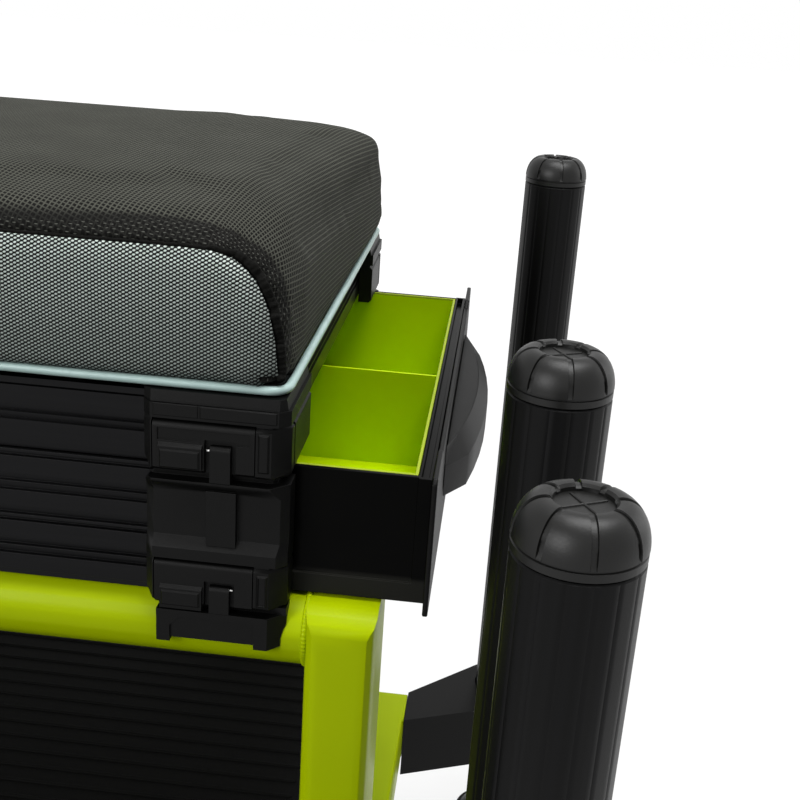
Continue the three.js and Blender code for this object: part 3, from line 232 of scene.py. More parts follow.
def grained_material(name, sockets, tint, bumps, gloss=None, pit_shaded=False, painted_band=None):
    """A material whose colour, relief and gloss follow grains.

    Tint is a grain and its two colours, bumps a grain with its height in millimetres and its strength,
    and gloss a grain with the least and the most roughness. The flag after gloss darkens the tint between
    the bumps, as painted shade in the pits.
    The last argument is the height at which painted colour begins to take over, the height at which it is
    full,
    and its colour: painted shade on the liner's rim, a painted reflection on the tray's foot.
    """
    material, tree, place = start_material(name)
    fields = {}
    for grain in dict.fromkeys((tint[0], bumps[0], gloss[0] if gloss else bumps[0])):
        sizes = grain.size if isinstance(grain.size, tuple) else (grain.size,) * 3
        scales = [1 / (size * MM) for size in sizes]
        stretched = add_node(tree, "Mapping", {"Vector": place, "Scale": scales})
        fields[grain] = add_node(tree, "TexNoise", {
            "Vector": stretched, "Scale": 1.0, "Detail": grain.detail, "Roughness": grain.roughness})
    share, raised = fields[tint[0]], fields[bumps[0]]
    # darken the tint where the bumps are low: painted shade in the pits
    if pit_shaded:
        share = add_node(tree, "Math", {0: share, 1: raised}, operation="MULTIPLY")
    colour = layered(tree, tint[1], (share, tint[2]))
    # past a given height the colour is painted over: painted shade on the liner's rim, a painted reflection
    # on the tray's foot
    if painted_band:
        begun, full, painted_band_hex = painted_band
        height = add_node(tree, "SeparateXYZ", {"Vector": place}, "Z")
        painted_band_share = add_node(tree, "MapRange", {"Value": height, "From Min": begun, "From Max": full})
        colour = layered(tree, colour, (painted_band_share, painted_band_hex))
    linked = {
        "Base Color": colour,
        "Normal": add_node(
            tree, "Bump", {"Height": raised, "Distance": bumps[1] * MM, "Strength": bumps[2]}),
    }
    if gloss:
        linked["Roughness"] = add_node(
            tree, "MapRange", {"Value": fields[gloss[0]], "To Min": gloss[1], "To Max": gloss[2]})
    return end_material(material, sockets | linked)


def moulded_nylon(finish):
    """Glass-filled nylon, spark-eroded mould: a fine dry grain that breaks up the light on wide faces."""
    pits = Grain(0.45, 3)
    # the tint darkens between the bumps: painted shade in the pits
    return grained_material(
        "glass-filled nylon moulded black", {"IOR": 1.53, "Specular IOR Level": 0.11},
        tint=(Grain(14, 2), "020202", finish.casting_hex), bumps=(pits, 0.1, 0.7),
        gloss=(pits, 0.36, 0.52), pit_shaded=True)


def satin_abs(finish):
    """ABS, injection moulded in a satin mould: a soft broad shine on domes and grips."""
    texture = Grain(0.7, 2)
    return grained_material(
        "ABS moulded satin black", {"IOR": 1.54, "Specular IOR Level": 0.24},
        tint=(Grain(9, 2), "060605", "0E0E0D"), bumps=(texture, 0.05, 0.5), gloss=(texture, 0.34, 0.46))


def anodised_extrusion(finish):
    """Black anodised aluminium, extruded: die lines run along the piece and stretch the highlights."""
    # die lines are finer than this on the real piece, and are drawn coarse enough to show
    lines = Grain((167, 167, 1.11), 3, 0.7)
    return grained_material(
        "aluminium extruded black anodised",
        {"Metallic": 0.85, "Specular IOR Level": 0.2, "Coat Weight": 0.08, "Coat Roughness": 0.3},
        tint=(lines, "0D0D0E", finish.anodised_hex), bumps=(lines, 0.04, 0.5),
        gloss=(Grain(0.5, 1), 0.28, 0.42))


def anodised_tube(finish):
    """Black anodised tube with a bead-blasted skin: soft, even, slightly warm highlights down its flats."""
    blast = Grain(0.6, 2)
    return grained_material(
        "aluminium tube blasted black anodised", {"Metallic": 0.5, "Specular IOR Level": 0.14},
        tint=(Grain((3.33, 3.33, 250), 2), "090908", finish.anodised_hex), bumps=(blast, 0.03, 0.5),
        gloss=(blast, 0.36, 0.5))


def powder_coat(finish):
    """Lime polyester powder coat, baked: glossy with a faint orange peel."""
    peel = Grain(2.2, 1)
    return grained_material(
        "steel tube lime powder coated", {"IOR": 1.5, "Specular IOR Level": 0.07},
        tint=(Grain(60, 1), "9FB400", finish.lime_enamel_hex), bumps=(peel, 0.06, 0.5),
        gloss=(peel, 0.26, 0.38))


def lime_polypropylene(finish):
    """Polypropylene, injection moulded: waxy and slightly translucent, so inner corners glow.

    The top millimetre of its walls is painted darker, as painted shade on the rim.
    """
    texture = Grain(0.9, 2)
    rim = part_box("drawer_liner")[1].z
    return grained_material(
        "polypropylene moulded lime",
        {"IOR": 1.49, "Specular IOR Level": 0.07, "Subsurface Weight": 0.12,
         "Subsurface Radius": (2 * MM, 3 * MM, 0.4 * MM)},
        tint=(Grain(45, 2), "B2CF00", finish.lime_plastic_hex), bumps=(texture, 0.03, 0.4),
        # its top millimetre is painted darker: painted shade on the rim
        gloss=(texture, 0.36, 0.5), painted_band=(rim - 1.2 * MM, rim - 0.7 * MM, "93A42C"))


def tray_abs(finish):
    """ABS, vacuum formed: dark grey with a soft leathery sheen."""
    leather = Grain(1.2, 3)
    return grained_material(
        "ABS vacuum formed dark grey", {"Roughness": 0.5, "IOR": 1.54},
        tint=(leather, "1E1E1D", "2C2C2B"), bumps=(leather, 0.08, 0.6))


def gloss_polypropylene(finish):
    """Polypropylene, injection moulded in a polished mould: black and glossy, with slow waves in its shine.

    Its lowest 10 mm are painted a lighter grey, as a painted reflection of the floor.
    """
    waves = Grain(24, 1)
    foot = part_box("drawer_tray")[0].z
    return grained_material(
        "polypropylene moulded polished black", {"Roughness": 0.22, "IOR": 1.49, "Specular IOR Level": 0.03},
        tint=(waves, "020202", "060605"), bumps=(waves, 0.25, 0.4),
        # the lowest 10 mm are painted lighter: a painted reflection of the floor
        painted_band=(foot + 11 * MM, foot + 9 * MM, "20201D"))


def grit_coat(finish):
    """Aluminium plate with a baked grit coat: dull black that hardly catches the light."""
    grit = Grain(0.7, 3, 0.7)
    return grained_material(
        "aluminium plate grit coated black", {"Roughness": 0.8, "Specular IOR Level": 0.08},
        tint=(grit, "060606", "121211"), bumps=(grit, 0.15, 0.8))


def drawn_steel(finish):
    """Stainless steel, drawn: bright with fine lines along the pin."""
    lines = Grain((125, 1.43, 1.43), 2)
    return grained_material(
        "stainless steel drawn", {"Metallic": 1.0, "Roughness": 0.28},
        tint=(lines, "A9A9A8", "CDCDCB"), bumps=(lines, 0.02, 0.4))


def vinyl_piping(finish):
    """Plasticised PVC, extruded: smooth and pale, with a broad soft shine."""
    cloud = Grain(9, 2)
    return grained_material(
        "PVC piping extruded pale",
        {"Roughness": 0.38, "IOR": 1.52, "Subsurface Weight": 0.08, "Subsurface Radius": (MM, MM, MM)},
        tint=(cloud, "9DB6B2", finish.piping_hex), bumps=(cloud, 0.1, 0.5))


def folded_binding(cushion):
    """Polyester mesh, folded and sewn: the cloth packed tight, nearly black and lighter on its raised
    threads.
    """
    threads = Grain(0.9, 3, 0.6)
    return grained_material(
        "polyester mesh folded and sewn", {"Roughness": 0.8, "Specular IOR Level": 0.06},
        tint=(threads, "020202", "181816"), bumps=(threads, 0.3, 0.8))


def staggered_knots(tree, place, pitch, row, length_share, width_share, lean):
    """Oval knots in staggered rows: 1 on a knot and 0 between.

    Pitch along a row and row height are in metres; lean slants each knot.
    """
    made = {axis: add_node(tree, "SeparateXYZ", {"Vector": place}, axis) for axis in "XY"}
    # each step names what it makes of one or two values
    steps = (
        ("rows", "Y", "DIVIDE", row),
        ("level", "rows", "FLOOR", 0),
        ("odd", "level", "FLOORED_MODULO", 2),
        ("shift", "odd", "MULTIPLY", 0.5),
        ("columns", "X", "DIVIDE", pitch),
        ("along", "columns", "ADD", "shift"),
        ("in column", "along", "FRACT", 0),
        ("across", "in column", "SUBTRACT", 0.5),
        ("in row", "rows", "FRACT", 0),
        ("up", "in row", "SUBTRACT", 0.5),
        ("slant", "up", "MULTIPLY", lean),
        ("leaning", "across", "SUBTRACT", "slant"),
        ("long", "leaning", "DIVIDE", length_share),
        ("wide", "up", "DIVIDE", width_share),
        ("long squared", "long", "MULTIPLY", "long"),
        ("wide squared", "wide", "MULTIPLY", "wide"),
        ("far", "long squared", "ADD", "wide squared"),
    )
    for name, first, operation, second in steps:
        values = {0: made.get(first, first), 1: made.get(second, second)}
        made[name] = add_node(tree, "Math", values, operation=operation)
    return add_node(tree, "MapRange", {
        "Value": made["far"], "From Min": 0.55, "From Max": 1.25, "To Min": 1.0, "To Max": 0.0})


def crossed_threads(tree, place, ways):
    """Threads that cross in two ways round slanted holes: 1 on a thread and 0 in a hole.

    Each way has its threads' distance in metres, the turn of their row in degrees and their level.
    """
    knot = 0.0
    for distance, degrees, level in ways:
        turn = math.radians(degrees)
        across = (math.cos(turn) / distance, math.sin(turn) / distance, 0)
        off = add_node(tree, "VectorMath", {0: place, 1: across}, "Value", operation="DOT_PRODUCT")
        for operation, by in (("FRACT", 0), ("SUBTRACT", 0.5), ("ABSOLUTE", 0)):
            off = add_node(tree, "Math", {0: off, 1: by}, operation=operation)
        thread = add_node(tree, "MapRange", {
            "Value": off, "From Min": 0.08, "From Max": 0.24, "To Min": level, "To Max": 0.0})
        knot = add_node(tree, "Math", {0: knot, 1: thread}, operation="MAXIMUM")
    return knot


def woven_mesh(cushion):
    """Polyester mesh, warp knitted: dark holes between threads that catch a dusty sheen at a low angle.

    Over the roll beside a seam the cloth is stretched, so its dark ground shows with few knots left, and it
    is painted darker there as painted shade over the roll.
    """
    material, tree, place = start_material("polyester mesh warp knitted charcoal")
    cloth = add_node(tree, "Attribute", {}, "Vector", attribute_name="cloth_place")
    # the threads of both ways lie about 2 mm apart, and cross at about 70 degrees
    knot = crossed_threads(tree, cloth, ((2.05 * MM, 63.4, 0.9), (2.02 * MM, -5.4, 1.0)))
    cloud = add_node(tree, "TexNoise", {"Vector": place, "Scale": 1 / (30 * MM), "Detail": 2})
    thread = layered(tree, "3A3B35", (cloud, cushion.mesh_thread_hex))
    slack = layered(tree, cushion.mesh_gap_hex, (knot, thread))
    # beside the seam the knots lie about 3 mm apart, with a row every 1.6 mm
    turned_cloth = add_node(tree, "Mapping", {"Vector": cloth, "Rotation": (0, 0, math.radians(9))})
    spread_knot = staggered_knots(tree, turned_cloth, 3.0 * MM, 1.6 * MM, 0.2, 0.13, 0.8)
    stretch_and_shade = add_node(tree, "SeparateXYZ", {"Vector": cloth}, "Z")
    seamed = add_node(tree, "MapRange", {"Value": stretch_and_shade, "From Min": 0.4, "From Max": 0.5})
    dashes = add_node(tree, "Math", {0: spread_knot, 1: seamed}, operation="MULTIPLY")
    # the stretched cloth is painted darker than the slack cloth, as painted shade over the roll, and keeps
    # its knots and spread stitches
    taut_and_shaded = layered(tree, "090908", (knot, "1B1B19"), (dashes, "4E4F4A"))
    dark = add_node(tree, "MapRange", {"Value": stretch_and_shade, "From Min": 0.0, "From Max": 0.34})
    return end_material(material, {
        "Base Color": layered(tree, slack, (dark, taut_and_shaded)),
        "Normal": add_node(tree, "Bump", {"Height": knot, "Distance": 0.35 * MM, "Strength": 0.6}),
        "Roughness": 0.8,
        "Specular IOR Level": 0.06,
        "Sheen Weight": 0.03,
        "Sheen Roughness": 0.45,
        "Sheen Tint": linear("DADBD0"),
    })


def panel_mesh(cushion):
    """Polyester spacer mesh, warp knitted: pale slanted knots over a black ground, darker towards its foot.
    """
    material, tree, place = start_material("polyester spacer mesh warp knitted pale")
    flat = add_node(tree, "Mapping", {"Vector": place, "Rotation": (math.radians(-90), 0, 0)})
    # the knots lie in a honeycomb 1.45 mm apart: 2.5 mm along a row, with a row every 0.73 mm
    knot = staggered_knots(tree, flat, 2.5 * MM, 0.73 * MM, 0.23, 0.58, 0.1)
    cloud = add_node(tree, "TexNoise", {"Vector": place, "Scale": 1 / (25 * MM), "Detail": 2})
    pale = layered(tree, "BFC9C4", (cloud, cushion.panel_thread_hex))
    height = add_node(tree, "SeparateXYZ", {"Vector": place}, "Z")
    # the knots grow darker over the lowest 45 mm
    foot_fade = add_node(
        tree, "MapRange", {"Value": height, "From Min": CUSHION_LOW.z, "From Max": CUSHION_LOW.z + 45 * MM})
    thread = layered(tree, "8A938E", (foot_fade, pale))
    return end_material(material, {
        "Base Color": layered(tree, cushion.panel_gap_hex, (knot, thread)),
        "Normal": add_node(tree, "Bump", {"Height": knot, "Distance": 0.3 * MM, "Strength": 0.6}),
        "Roughness": 0.6,
        "Specular IOR Level": 0.12,
    })


FINISHES = {
    "casting": (moulded_nylon, "black_casting"),
    "satin": (satin_abs, "black_casting"),
    "extrusion": (anodised_extrusion, "black_aluminium"),
    "tube": (anodised_tube, "black_aluminium"),
    "enamel": (powder_coat, "lime_enamel"),
    "liner": (lime_polypropylene, "lime_plastic"),
    "gloss": (gloss_polypropylene, "black_casting"),
    "grit": (grit_coat, "black_aluminium"),
    "tray": (tray_abs, "tray_plastic"),
    "steel": (drawn_steel, "pin_steel"),
    "piping": (vinyl_piping, "piping_vinyl"),
    "top_cloth": (woven_mesh, "cushion_fabric"),
    "panel_cloth": (panel_mesh, "cushion_fabric"),
    "binding": (folded_binding, "cushion_fabric"),
}
CLOTHS = ("top_cloth", "panel_cloth", "binding")
made_materials = {}


def material_for(finish):
    """The material of a finish, made once."""
    if finish not in made_materials:
        scene = bpy.context.scene
        settings = scene.seat_box_cushion if finish in CLOTHS else scene.seat_box_finish
        made_materials[finish] = FINISHES[finish][0](settings)
    return made_materials[finish]


# Meshes

# Points of a CAD piece that are nearer than this are one point
WELD = 0.004 * MM


def opened(mesh):
    """A working copy of a mesh."""
    shape = bmesh.new()
    shape.from_mesh(mesh)
    return shape


def settle(shape, mesh):
    """Writes a working copy into a mesh and frees it."""
    shape.to_mesh(mesh)
    shape.free()


def mesh_of(name, points, faces):
    """A mesh whose faces all look outwards."""
    mesh = bpy.data.meshes.new(name)
    mesh.from_pydata([tuple(p) for p in points], [], faces)
    shape = opened(mesh)
    bmesh.ops.recalc_face_normals(shape, faces=shape.faces)
    settle(shape, mesh)
    return mesh


def points_and_faces(mesh):
    """A mesh's points and faces, to build another from."""
    return [v.co.copy() for v in mesh.vertices], [tuple(p.vertices) for p in mesh.polygons]


def welded_copy(node, name):
    """A copy of a CAD piece's mesh, and a working copy with its points welded."""
    mesh = mesh_of(name, *points_and_faces(NODES[node].data))
    shape = opened(mesh)
    bmesh.ops.remove_doubles(shape, verts=shape.verts, dist=WELD)
    return mesh, shape


def scene_object(name, data):
    """A new object of the scene with a mesh, a lamp or a camera."""
    holder = bpy.data.objects.new(name, data)
    bpy.context.scene.collection.objects.link(holder)
    return holder


def piece_of(name, mesh, finish, body, replaced=(), smooth=35.0):
    """A piece with a finish that rides on a body and stands for CAD nodes."""
    piece = scene_object(name, mesh)
    mesh.materials.clear()
    mesh.materials.append(material_for(finish))
    mesh.shade_smooth()
    if smooth:
        mesh.set_sharp_from_angle(angle=math.radians(smooth))
    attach(piece, body)
    if replaced:
        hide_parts(*replaced)
    return piece


def skin_piece(name, parts, finish, body, replaced=(), smooth=35.0):
    """A piece made of one or more closed skins, each its points and faces."""
    points, faces = [], []
    for more_points, more_faces in parts:
        start = len(points)
        points += more_points
        faces += [tuple(i + start for i in face) for face in more_faces]
    return piece_of(name, mesh_of(name, points, faces), finish, body, replaced, smooth)


def skin(rings, hoop=False):
    """Points and faces of a closed skin through rings of as many points each."""
    count = len(rings[0])
    points = [p for ring in rings for p in ring]
    faces = []
    for a in range(len(rings) if hoop else len(rings) - 1):
        b = (a + 1) % len(rings)
        for i in range(count):
            j = (i + 1) % count
            faces.append((a * count + i, a * count + j, b * count + j, b * count + i))
    if not hoop:
        last = (len(rings) - 1) * count
        faces.append(tuple(reversed(range(count))))
        faces.append(tuple(range(last, last + count)))
    return points, faces


def circle(sides):
    """Cosine and sine of each step round a circle."""
    turns = [2 * math.pi * i / sides for i in range(sides)]
    return [(math.cos(turn), math.sin(turn)) for turn in turns]


def turned(profile, sides, centre):
    """Rings of a profile of (radius, height) turned about a vertical axis through a centre."""
    x, y = centre
    return [
        [Vector((x + radius * cosine, y + radius * sine, height)) for cosine, sine in circle(sides)]
        for radius, height in profile]


def swept(path, radii, sides, hoop=False):
    """Rings round a path of points, each with its radius."""
    rings = []
    count = len(path)
    side = None
    for i, (point, radius) in enumerate(zip(path, radii)):
        ahead = path[(i + 1) % count] if hoop or i + 1 < count else point
        behind = path[i - 1] if hoop or i else point
        along = (ahead - behind).normalized()
        if side is None:
            side = along.cross(Vector((0, 0, 1)))
            if side.length < 0.1:
                side = along.cross(Vector((0, 1, 0)))
        side = (side - along * side.dot(along)).normalized()
        other = along.cross(side)
        rings.append([point + (side * cosine + other * sine) * radius for cosine, sine in circle(sides)])
    return rings


def rod(start, end, stops, thin, thick, sides):
    """A closed rod, thick between the second and third of four stops and thin at its ends."""
    path = [start.lerp(end, stop) for stop in stops]
    return skin(swept(path, (thin, thick, thick, thin), sides))


def evaluated_mesh(piece):
    """The piece's mesh with its modifiers applied."""
    graph = bpy.context.evaluated_depsgraph_get()
    graph.update()
    return bpy.data.meshes.new_from_object(piece.evaluated_get(graph))


def fine_copy(node, finish, edge, steps=2, corner=38.0):
    """The CAD piece with its sharp edges rounded, which stands for it."""
    mesh, shape = welded_copy(node, node + "_fine")
    bmesh.ops.dissolve_limit(
        shape, angle_limit=math.radians(0.6), verts=shape.verts, edges=shape.edges)
    bmesh.ops.recalc_face_normals(shape, faces=shape.faces)
    sharp = [e for e in shape.edges if len(e.link_faces) == 2 and e.calc_face_angle() > math.radians(corner)]
    bmesh.ops.bevel(
        shape, geom=sharp, offset=edge, offset_type="OFFSET", segments=steps, profile=0.5,
        affect="EDGES", clamp_overlap=True, miter_outer="ARC")
    settle(shape, mesh)
    piece = piece_of(node + "_fine", mesh, finish, NODES[node]["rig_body"], (node,), smooth=0)
    weighted = piece.modifiers.new("weighted normals", "WEIGHTED_NORMAL")
    weighted.keep_sharp = True


# Cushion

# How far the cloth at the ends stands out beyond the CAD pad, by height above the base, in millimetres
ROLL_HEIGHTS = (0, 18, 35, 45, 48, 50, 53, 57, 60, 63, 66)
ROLL_REACHES = (0, 0, 1.1, 2.9, 3.4, 4.6, 5.4, 5.2, 4.2, 2.6, 0.6)

# How far from the seam the cloth is stretched and painted in shade, by the place across, in millimetres
STRETCH_SHADE_PLACES = (0, 105, 150, 174, 184)
STRETCH_SHADE_REACHES = (9.5, 10, 15.5, 14.5, 12)

# How far the cloth at the sides stands out beyond the CAD pad near its rear, by height, in millimetres
SIDE_HEIGHTS = (0, 8, 36, 44, 50, 54, 66)
SIDE_REACHES = (0.8, 2.8, 3.0, 4.6, 8.0, 10.0, 10.0)

# The panels stay flat almost to the pad's upright corners: how far a corner stands out, where it starts
# across and how wide it is, below what height it does so and how it fades there, in millimetres
CORNER_REACH, CORNER_START, CORNER_WIDTH, CORNER_TOP, CORNER_FADE = 2.4, 166, 18, 52, 8

# Where a side's fuller shape starts across, and the width over which it grows, in millimetres
FULLER_START, FULLER_WIDTH = 90, 80

# How far behind the pad's end its rolls and seam reach, its stitches lie and its stretched cloth with its
# painted shade fades
END_DEPTH, STITCH_DEPTH, STRETCH_SHADE_DEPTH, STRETCH_SHADE_FADE = 14 * MM, 9 * MM, 13 * MM, 3 * MM

# How high the pad's foot is, and how far it stands out to the piping
FOOT_HEIGHT, FOOT_REACH = 7 * MM, 2.6 * MM

# How many frames the cloth is given to swell
SWELL_FRAMES = 20

# An end panel's thickness, how far it stands out from the pad, and how far its foot stays off the board
PANEL_THICKNESS, PANEL_LIFT, PANEL_FOOT = 1.2 * MM, 0.8 * MM, 0.8 * MM

# Across the seam: how wide it pulls the cloth in, and where its gathers stand and how wide they are
PULL_WIDTH = 3.2 * MM
GATHER_PLACE, GATHER_WIDTH = 4 * MM, 4.5 * MM

# Along the seam: the gathers' pitch, and the length over which it wanders
GATHER_PITCH, WANDER_LENGTH = 6.1 * MM, 23 * MM


def seam_line(samples=56):
    """The front panel's seam from right foot to left foot, as (across, up) in metres."""
    across = np.array([p[0] for p in SEAM_POINTS])
    up = np.array([p[1] for p in SEAM_POINTS])
    run = np.concatenate([[0], np.cumsum(np.hypot(np.diff(across), np.diff(up)))])
    even = np.linspace(0, run[-1], samples)
    half = np.stack([np.interp(even, run, across), np.interp(even, run, up)], axis=1)
    for _ in range(3):
        half[1:-1] = (half[:-2] + 2 * half[1:-1] + half[2:]) / 4
    whole = np.concatenate([half[::-1], half[1:] * [-1, 1]]) * MM
    whole[:, 1] += CUSHION_LOW.z
    return whole


def seam_gap(points, line):
    """Each point's distance from the nearest seam, seen from the front, and that place's number."""
    gap = np.hypot(points[:, 0:1] - line[:, 0], points[:, 2:3] - line[:, 1])
    return gap.min(1), gap.argmin(1)


def end_depth(points):
    """How far each point lies behind the nearer end of the CAD pad."""
    return np.minimum(points[:, 1] - CUSHION_LOW.y, CUSHION_HIGH.y - points[:, 1])


def places_of(mesh):
    """The place of each of a mesh's points."""
    return np.array([v.co for v in mesh.vertices])


def outward_of(mesh):
    """The way outwards at each of a mesh's points."""
    return np.array([v.normal for v in mesh.vertices])


def put_back(mesh, points):
    """Moves a mesh's points to new places."""
    for vertex, place in zip(mesh.vertices, points):
        vertex.co = place


def swollen(piece, settings, line):
    """Lets the pad swell as cloth, held at its base and seams, then caps each point's move."""
    start = places_of(piece.data)
    sewn = (end_depth(start) < STITCH_DEPTH) & (seam_gap(start, line)[0] < settings.voxel * 0.8)
    low = start[:, 2] < CUSHION_LOW.z + settings.voxel * 1.6
    held = piece.vertex_groups.new(name="held")
    held.add([int(i) for i in np.where(sewn | low)[0]], 1.0, "REPLACE")
    cloth = piece.modifiers.new("swell", "CLOTH")
    cloth.settings.vertex_group_mass = "held"
    cloth.settings.use_pressure = True
    cloth.settings.uniform_pressure_force = settings.pressure
    cloth.settings.effector_weights.gravity = 0
    cloth.settings.quality = 5
    cloth.point_cache.frame_start = 1
    cloth.point_cache.frame_end = SWELL_FRAMES
    for number in range(1, SWELL_FRAMES + 1):
        bpy.context.scene.frame_set(number)
    made = evaluated_mesh(piece)
    move = places_of(made) - start
    piece.modifiers.remove(cloth)
    bpy.context.scene.frame_set(1)
    length = np.linalg.norm(move, axis=1, keepdims=True)
    put_back(piece.data, start + move * np.minimum(1, settings.swell / np.maximum(length, 1e-9)))
    bpy.data.meshes.remove(made)


def even_pad(settings):
    """The CAD pad with an even mesh, smoothed above its foot."""
    mesh, shape = welded_copy("seat_cushion", "seat_cushion_pad")
    settle(shape, mesh)
    piece = scene_object("seat_cushion_pad", mesh)
    remesh = piece.modifiers.new("even mesh", "REMESH")
    remesh.mode = "VOXEL"
    remesh.voxel_size = settings.voxel
    piece.data = evaluated_mesh(piece)
    piece.modifiers.clear()
    shape = opened(piece.data)
    upper = [v for v in shape.verts if v.co.z > CUSHION_LOW.z + settings.voxel * 1.2]
    for _ in range(3):
        bmesh.ops.smooth_vert(
            shape, verts=upper, factor=0.5, use_axis_x=True, use_axis_y=True, use_axis_z=True)
    settle(shape, piece.data)
    return piece


def roll_out(points, rise):
    """Moves the ends out to their rolls, by each point's rise above the base in millimetres."""
    reach = np.interp(rise, ROLL_HEIGHTS, ROLL_REACHES) * MM
    corner = np.clip((np.abs(points[:, 0]) / MM - CORNER_START) / CORNER_WIDTH, 0, 1)
    corner *= np.clip((CORNER_TOP - rise) / CORNER_FADE, 0, 1)
    reach += CORNER_REACH * MM * corner
    reach *= np.clip(1.6 - end_depth(points) / END_DEPTH, 0, 1)
    points[:, 1] += reach * np.sign(points[:, 1] - BOX_MIDDLE_Y)


def fill_out(points):
    """Makes the sides fuller towards the rear."""
    rise = (points[:, 2] - CUSHION_LOW.z) / MM
    length = CUSHION_HIGH.y - CUSHION_LOW.y
    rearward = np.clip((points[:, 1] - CUSHION_LOW.y) / length * 1.5 - 0.3, 0, 1)
    rearward *= rearward * (3 - 2 * rearward)
    outer = np.clip((np.abs(points[:, 0]) / MM - FULLER_START) / FULLER_WIDTH, 0, 1)
    fuller = np.interp(rise, SIDE_HEIGHTS, SIDE_REACHES) * MM
    points[:, 0] += np.sign(points[:, 0]) * fuller * outer * rearward


def cushion_shape(settings, line):
    """The pad: the CAD pad with its rolls, swollen as cloth and fuller towards the rear."""
    piece = even_pad(settings)
    mesh = piece.data
    points = places_of(mesh)
    rise = (points[:, 2] - CUSHION_LOW.z) / MM
    roll_out(points, rise)
    put_back(mesh, points)
    points -= outward_of(mesh) * (settings.shrink * np.clip(rise / 12 - 0.4, 0, 1))[:, None]
    put_back(mesh, points)
    swollen(piece, settings, line)
    points = places_of(mesh)
    points[:, 0] *= CUSHION_HIGH.x * 2 / np.ptp(points[:, 0])
    fill_out(points)
    put_back(mesh, points)
    finer = piece.modifiers.new("finer", "SUBSURF")
    finer.levels = finer.render_levels = 1
    piece.data = evaluated_mesh(piece)
    piece.modifiers.clear()
    piece.data.name = "seat_cushion_pad"
    return piece


def cloth_places(mesh, points, stretch_and_shade):
    """Stores where each point lies on the flattened cloth, and how far it is stretched and painted in shade
    beside a seam.

    A ball of the roll's radius runs along the edges of an inner block. The cloth follows the ball,
    and its poles lie under the front and rear panels.
    """
    roll = 30 * MM
    block = np.array([CUSHION_HIGH.x - roll, CUSHION_HIGH.y - BOX_MIDDLE_Y - roll, CUSHION_HIGH.z - roll])
    local = points - np.array([0, BOX_MIDDLE_Y, 0])
    sign = np.sign(local[:, :2])
    local[:, :2] = np.abs(local[:, :2])
    beyond = np.maximum(local - block, 0)
    reach = np.maximum(np.linalg.norm(beyond, axis=1), 1e-6)
    sideways = np.arctan2(beyond[:, 0], beyond[:, 2])
    endways = np.arcsin(np.clip(beyond[:, 1] / reach, 0, 1))
    below = np.maximum(block[2] - local[:, 2], 0)
    at_side = beyond[:, 0] > 0
    stored = np.zeros((len(points), 3), np.float32)
    stored[:, 0] = sign[:, 0] * (np.minimum(local[:, 0], block[0]) + roll * sideways + below * at_side)
    stored[:, 1] = sign[:, 1] * (np.minimum(local[:, 1], block[1]) + roll * endways + below * ~at_side)
    stored[:, 2] = stretch_and_shade
    cloth = mesh.attributes.new("cloth_place", "FLOAT_VECTOR", "POINT")
    cloth.data.foreach_set("vector", stored.ravel())


def seam_pull(piece, settings, line):
    """Pulls the pad in along both panels' seams and gathers the cloth beside them."""
    mesh = piece.data
    points = places_of(mesh)
    normals = outward_of(mesh)
    far, near = seam_gap(points, line)
    depth = end_depth(points)
    run = np.concatenate([[0], np.cumsum(np.hypot(*np.diff(line, axis=0).T))])[near]
    seam_reach = np.hypot(line[near, 0], line[near, 1] - CUSHION_LOW.z)
    outside = np.hypot(points[:, 0], points[:, 2] - CUSHION_LOW.z) > seam_reach
    at_end = depth < END_DEPTH
    pull = settings.seam_depth * np.exp(-(far / PULL_WIDTH) ** 2)
    gather = np.sin(run / GATHER_PITCH * 2 * math.pi + 2.1 * np.sin(run / WANDER_LENGTH))
    gather *= settings.pucker * np.exp(-((far - GATHER_PLACE) / GATHER_WIDTH) ** 2) * outside
    points += normals * ((gather - pull) * at_end)[:, None]
    # the foot stands square on the board, beside the piping
    foot = np.clip(1 - (points[:, 2] - CUSHION_LOW.z) / FOOT_HEIGHT, 0, 1) ** 2
    level = normals[:, :2] / np.maximum(np.linalg.norm(normals[:, :2], axis=1, keepdims=True), 0.2)
    points[:, :2] += level * (FOOT_REACH * foot)[:, None]
    points[:, 2] = np.maximum(points[:, 2], CUSHION_LOW.z)
    put_back(mesh, points)
    # the stretched cloth and its painted shade fade out about 10 mm from the seam, and further at the
    # panels' upper corners
    fade = np.interp(np.abs(line[near, 0]) / MM, STRETCH_SHADE_PLACES, STRETCH_SHADE_REACHES) * MM
    stretch_and_shade_band = np.clip(1 - far / fade, 0, 1) * np.clip((STRETCH_SHADE_DEPTH - depth) / STRETCH_SHADE_FADE, 0, 1)
    cloth_places(mesh, points, stretch_and_shade_band)


def on_end(tree, across, up, end):
    """The pad's front (end -1) or rear (end 1) at a place across and up, with its outward direction."""
    face = CUSHION_LOW.y if end < 0 else CUSHION_HIGH.y
    place, outward = tree.ray_cast(Vector((across, end, up)), Vector((0, -end, 0)))[:2]
    if place is None or abs(place.y - face) > 20 * MM:
        place, outward = tree.find_nearest(Vector((across, face, up)))[:2]
    return place, outward if outward.y * end > 0 else -outward


